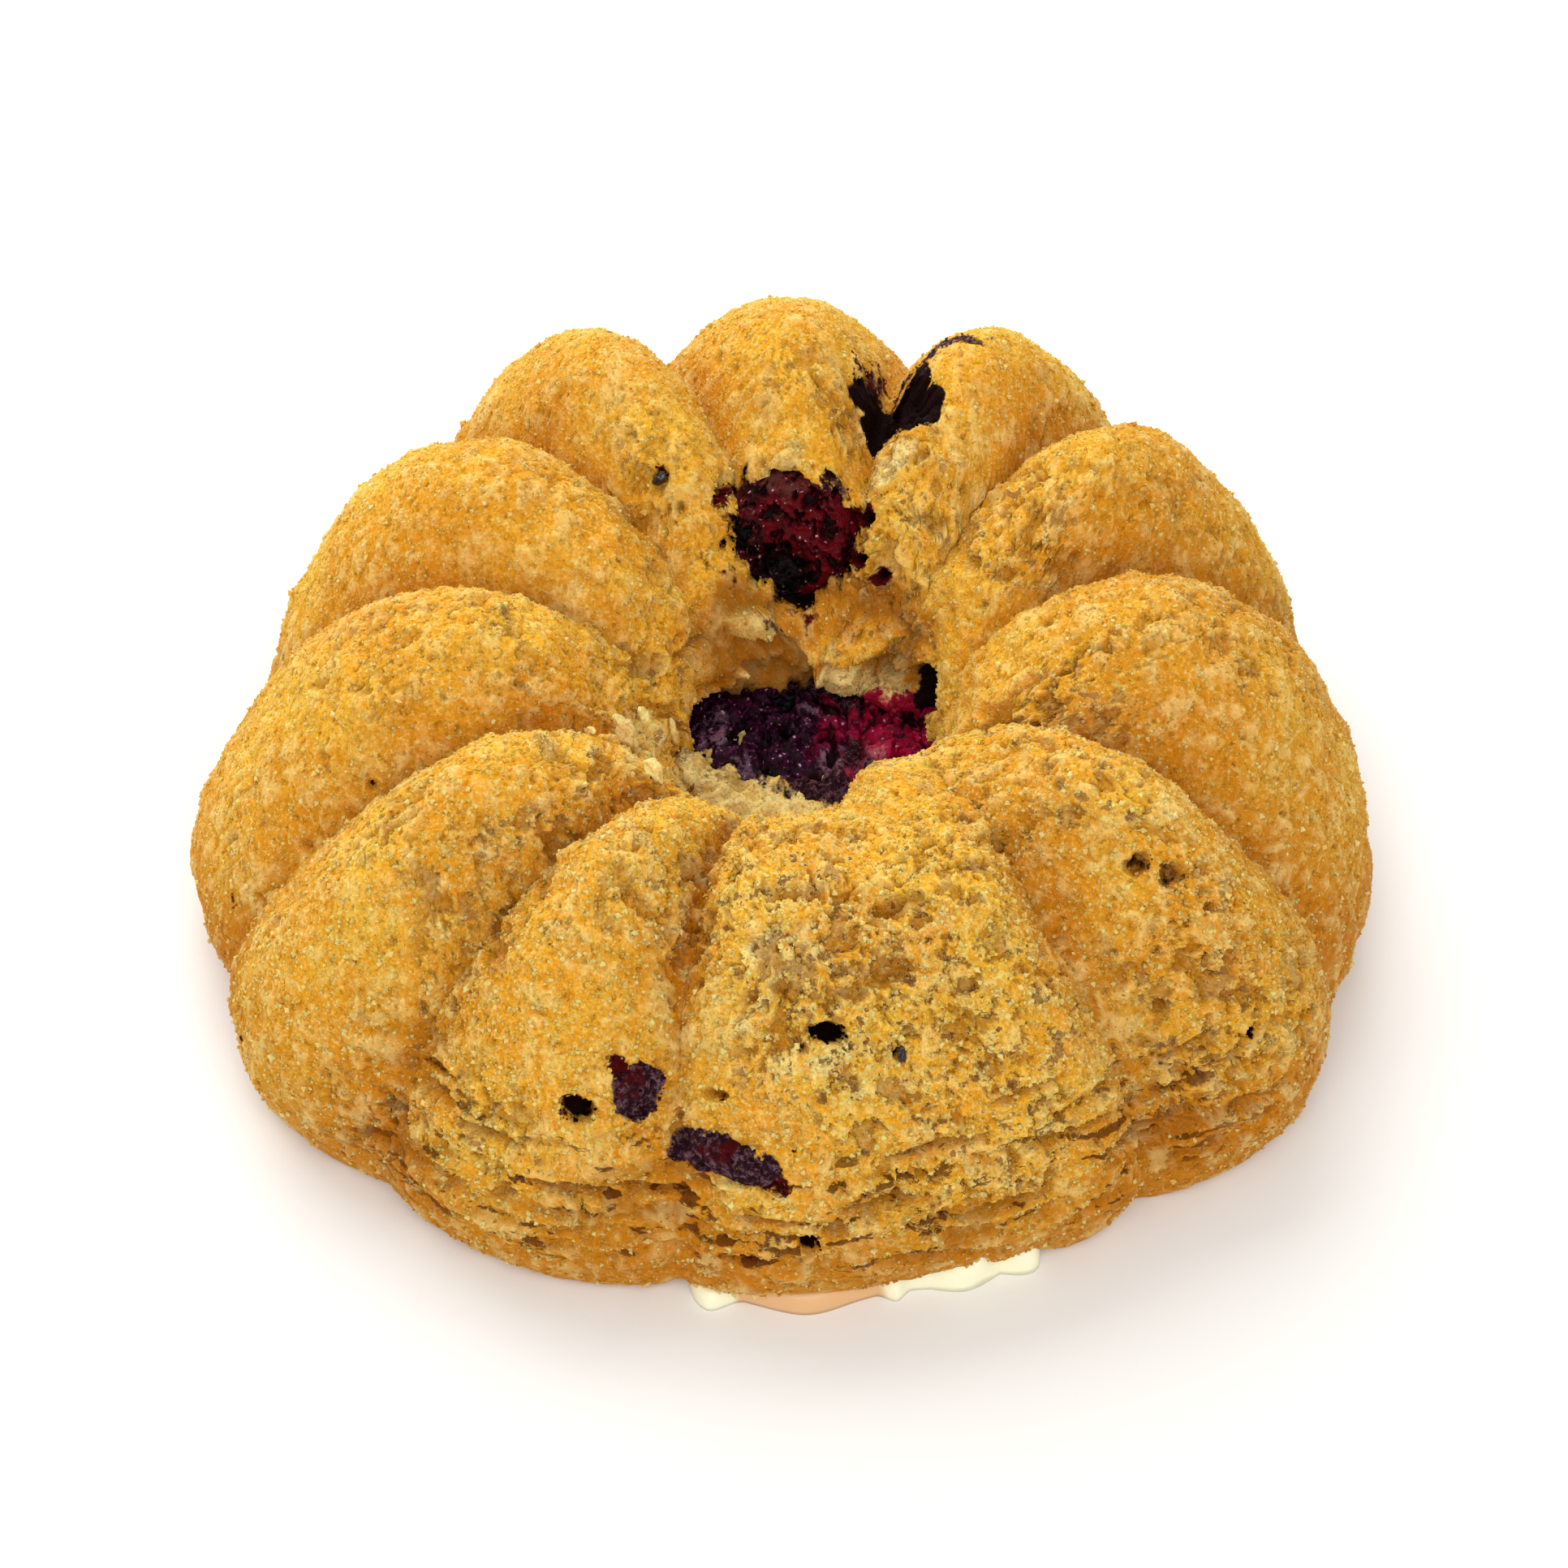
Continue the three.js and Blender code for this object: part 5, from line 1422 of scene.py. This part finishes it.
def make_icing():
    """Cream-coloured sugar icing, tan where it is a thin film over the crumb, between two of its
    drips."""
    recipe = Recipe("sugar_icing")
    slow = recipe.noise(6.0, detail=2.0)
    right = recipe.put("ShaderNodeSeparateXYZ", {0: recipe.places}).outputs[0]
    right = recipe.sum(right, recipe.times(recipe.sum(slow, -0.5), 6 * MM))
    start, end = (place * MM for place in FILM)
    after = recipe.ramp(right, start, start + 1 * MM)
    before = recipe.ramp(right, end, end + 1 * MM, 1.0, 0.0)
    body = recipe.mix(recipe.times(after, before), TONES["icing"], TONES["film"])
    normal = recipe.bump(recipe.noise(1.6), 0.12, 0.5)
    return recipe.finish(
        Base_Color=body, Roughness=0.34, Normal=normal, Subsurface_Weight=0.3,
        Subsurface_Radius=(1.0, 0.8, 0.5), Subsurface_Scale=1.2 * MM, Coat_Weight=0.15,
    )


icing = mesh_object("icing", *build_icing())
dress(icing, make_icing(), "icing")
print("icing:", len(icing.data.polygons), "triangles")

# %% [markdown]
# ## Flakes, a bead of juice and a seed
#
# Pale flakes of crumb broke off at the left of the well's rim and stuck there. A bead of juice
# dried on the far wall, and a seed sits in its own hole in the torn front. Each is a dented ball
# that lies along the skin under it, and the flakes are one joined piece.

# %% Flakes, a bead of juice and a seed
BITS = {  # angle, station and half sizes round the muffin, down the section and outwards
    "rim_flakes": [
        (-72.5, 1.54, 1.5, 0.8, 0.4), (-81, 1.36, 0.7, 0.9, 0.3), (-50, 1.50, 1.0, 0.8, 0.5),
        (-86.2, 1.02, 1.2, 0.8, 0.4), (-94, 1.16, 0.4, 1.1, 0.3), (-64, 1.64, 0.6, 0.4, 0.3),
    ],
    "juice_bead": [(-144.2, 1.69, 0.55, 0.5, 0.45)],
    "seed": [(13.6, 2.45, 0.3, 0.55, 0.3)],
}


def build_bits(places, seed):
    """Balls of the given half sizes, dented by noise of their directions and their own seed,
    lying along the skin with their middles on it, joined."""
    points, triangles = [], []
    directions, faces = ball(36, 24)
    for n, (angle, station, *size) in enumerate(places):
        shape = directions * (1 + 0.4 * layered_noise(directions, 0.7, seed + n, 3))[:, None]
        middle = sponge_point(angle, station) - SKIN_IN * surface_axes(angle, station)[2]
        points.append(middle + (shape * size) @ np.stack(surface_axes(angle, station)))
        triangles.append(faces[:, ::-1] + n * len(directions))
    return np.concatenate(points), np.concatenate(triangles)


for n, (name, places) in enumerate(BITS.items()):
    points, triangles = build_bits(places, 200 + 20 * n)
    if name == "rim_flakes":
        looks = {label: np.full(len(points), {"pale": 1.1}.get(label, 0.0)) for label in LOOKS}
        bits = mesh_object(name, points, triangles, looks)
        dress(bits, crumb, None)
    else:
        # The dark fruit's overlay lays its painted sheen over the bead and the seed.
        looks = {label: np.full(len(points), 0.6) for label in ("raised", "redness", "overlay")}
        bits = mesh_object(name, points, triangles, looks)
        dress(bits, bpy.data.materials["dark_fruit"], None)
    print(name, len(triangles), "triangles")

# %% [markdown]
# ## Loose crumbs
#
# A torn sponge is covered in crumbs that hang on by a corner. Each crumb is a stone with eight
# faces, squashed and turned at random and half sunk in the surface, and it takes on the tints of
# the spot it sits on. Four kinds differ in size and shade. Flat faces give each one the glint that
# makes crumb sparkle.

# %% Loose crumbs
CRUMB_KINDS = {  # count, smallest and largest half size in mm, darkest and lightest shade, seed
    "fine_light_crumbs": (24500, 0.08, 0.16, 0.2, 0.9, 11),
    "fine_golden_crumbs": (24500, 0.09, 0.20, -0.3, 0.5, 12),
    "fine_brown_crumbs": (14000, 0.08, 0.16, -0.8, 0.0, 13),
    "coarse_crumbs": (15000, 0.15, 0.32, 0.0, 0.8, 14),
}
SUNK = 0.35  # a crumb's middle lies this share of its size above the surface at most
FOOT_CLEAR = 1.5  # no crumbs below this height, nor where the skin looks down more than this
LOOKS_DOWN = -0.75


def random_turns(count, maker):
    """Rotation matrices from random unit quaternions."""
    w, x, y, z = (q := maker.normal(size=(4, count))) / np.linalg.norm(q, axis=0)
    rows = [
        [1 - 2 * (y * y + z * z), 2 * (x * y - z * w), 2 * (x * z + y * w)],
        [2 * (x * y + z * w), 1 - 2 * (x * x + z * z), 2 * (y * z - x * w)],
        [2 * (x * z - y * w), 2 * (y * z + x * w), 1 - 2 * (x * x + y * y)],
    ]
    return np.moveaxis(np.array(rows), 2, 0)


def octahedron():
    """Six corners and eight faces, facing outwards."""
    corners = np.array([(1, 0, 0), (-1, 0, 0), (0, 1, 0), (0, -1, 0), (0, 0, 1), (0, 0, -1.0)])
    top = [(0, 2, 4), (2, 1, 4), (1, 3, 4), (3, 0, 4)]
    return corners, np.array(top + [(b, a, 5) for a, b, _ in top])


def crumb_chance(name, corners, looks):
    """How likely each triangle is to carry a crumb, and its normal. The chance is its area, less
    in pores, none where the crumb is painted near-black, near the table or where the skin looks
    down. Browned crust, partly painted shade, holds few crumbs apart from brown ones, and coarse
    crumbs lie mostly at the front."""
    normal = np.cross(corners[1] - corners[0], corners[2] - corners[0])
    area = np.linalg.norm(normal, axis=1)
    normal = normal / np.maximum(area, 1e-9)[:, None]
    visible = (corners[0, :, 2] > FOOT_CLEAR) & (normal[:, 2] > LOOKS_DOWN)
    chance = area * visible * (1 - 0.8 * looks["pore"]) * (1 - looks["dark"])
    if "brown" not in name:
        chance = chance * (1 - 0.7 * looks["toast_and_shade"])
    if "coarse" in name:
        chance = chance * (0.25 + ease(-corners[0, :, 1], 0, 30))
    return chance / chance.sum(), normal


def scatter_crumbs(name, source, count, small, large, darkest, lightest, seed):
    """Places crumbs on the triangles of the source by their chance, at random spots within them,
    and joins them in one mesh. Any that would leave the solid's box are dropped."""
    points, triangles, looks = source
    maker = np.random.default_rng(seed)
    places = np.stack([points[triangles[:, n]] for n in range(3)])
    means = {label: looks[label][triangles].mean(axis=1) for label in ("pore", "dark", "toast_and_shade")}
    chance, normal = crumb_chance(name, places, means)
    picked = maker.choice(len(triangles), count, p=chance)
    u, v = maker.random((2, count))
    u, v = np.where(u + v > 1, 1 - u, u), np.where(u + v > 1, 1 - v, v)
    size = small + (large - small) * maker.random(count) ** 2
    middle = sum(share[:, None] * place[picked] for share, place in zip((1 - u - v, u, v), places))
    middle = middle + (size * maker.uniform(-0.3, SUNK, count))[:, None] * normal[picked]
    stretch = size[:, None] * maker.uniform(0.6, 1.3, (count, 3))
    corners, faces = octahedron()
    stones = (corners * stretch[:, None, :]) @ np.swapaxes(random_turns(count, maker), 1, 2)
    stones = stones + middle[:, None, :]
    low, high = np.array(CAD_LOW) / MM, np.array(CAD_HIGH) / MM
    kept = ((stones > low + 0.01) & (stones < high - 0.01)).all(axis=(1, 2))
    stones, picked = stones[kept], picked[kept]
    faces = (np.arange(len(stones)) * len(corners))[:, None, None] + faces
    shade = maker.uniform(darkest, lightest, len(stones))
    own = {label: looks[label][triangles[picked, 0]] for label in LOOKS}
    own["pore"] = 0.5 * own["pore"]
    own["shade"] = shade * (1 - 0.8 * np.maximum(own["violet"], own["wine"]))
    own = {label: np.repeat(value, len(corners)) for label, value in own.items()}
    return mesh_object(name, stones.reshape(-1, 3), faces.reshape(-1, 3), own, smooth=False)


crumb_source = read_mesh(sponge, LOOKS)
for name, settings in CRUMB_KINDS.items():
    crumbs = scatter_crumbs(name, crumb_source, *settings)
    dress(crumbs, crumb, None)
    print(name, len(crumbs.data.polygons), "triangles")
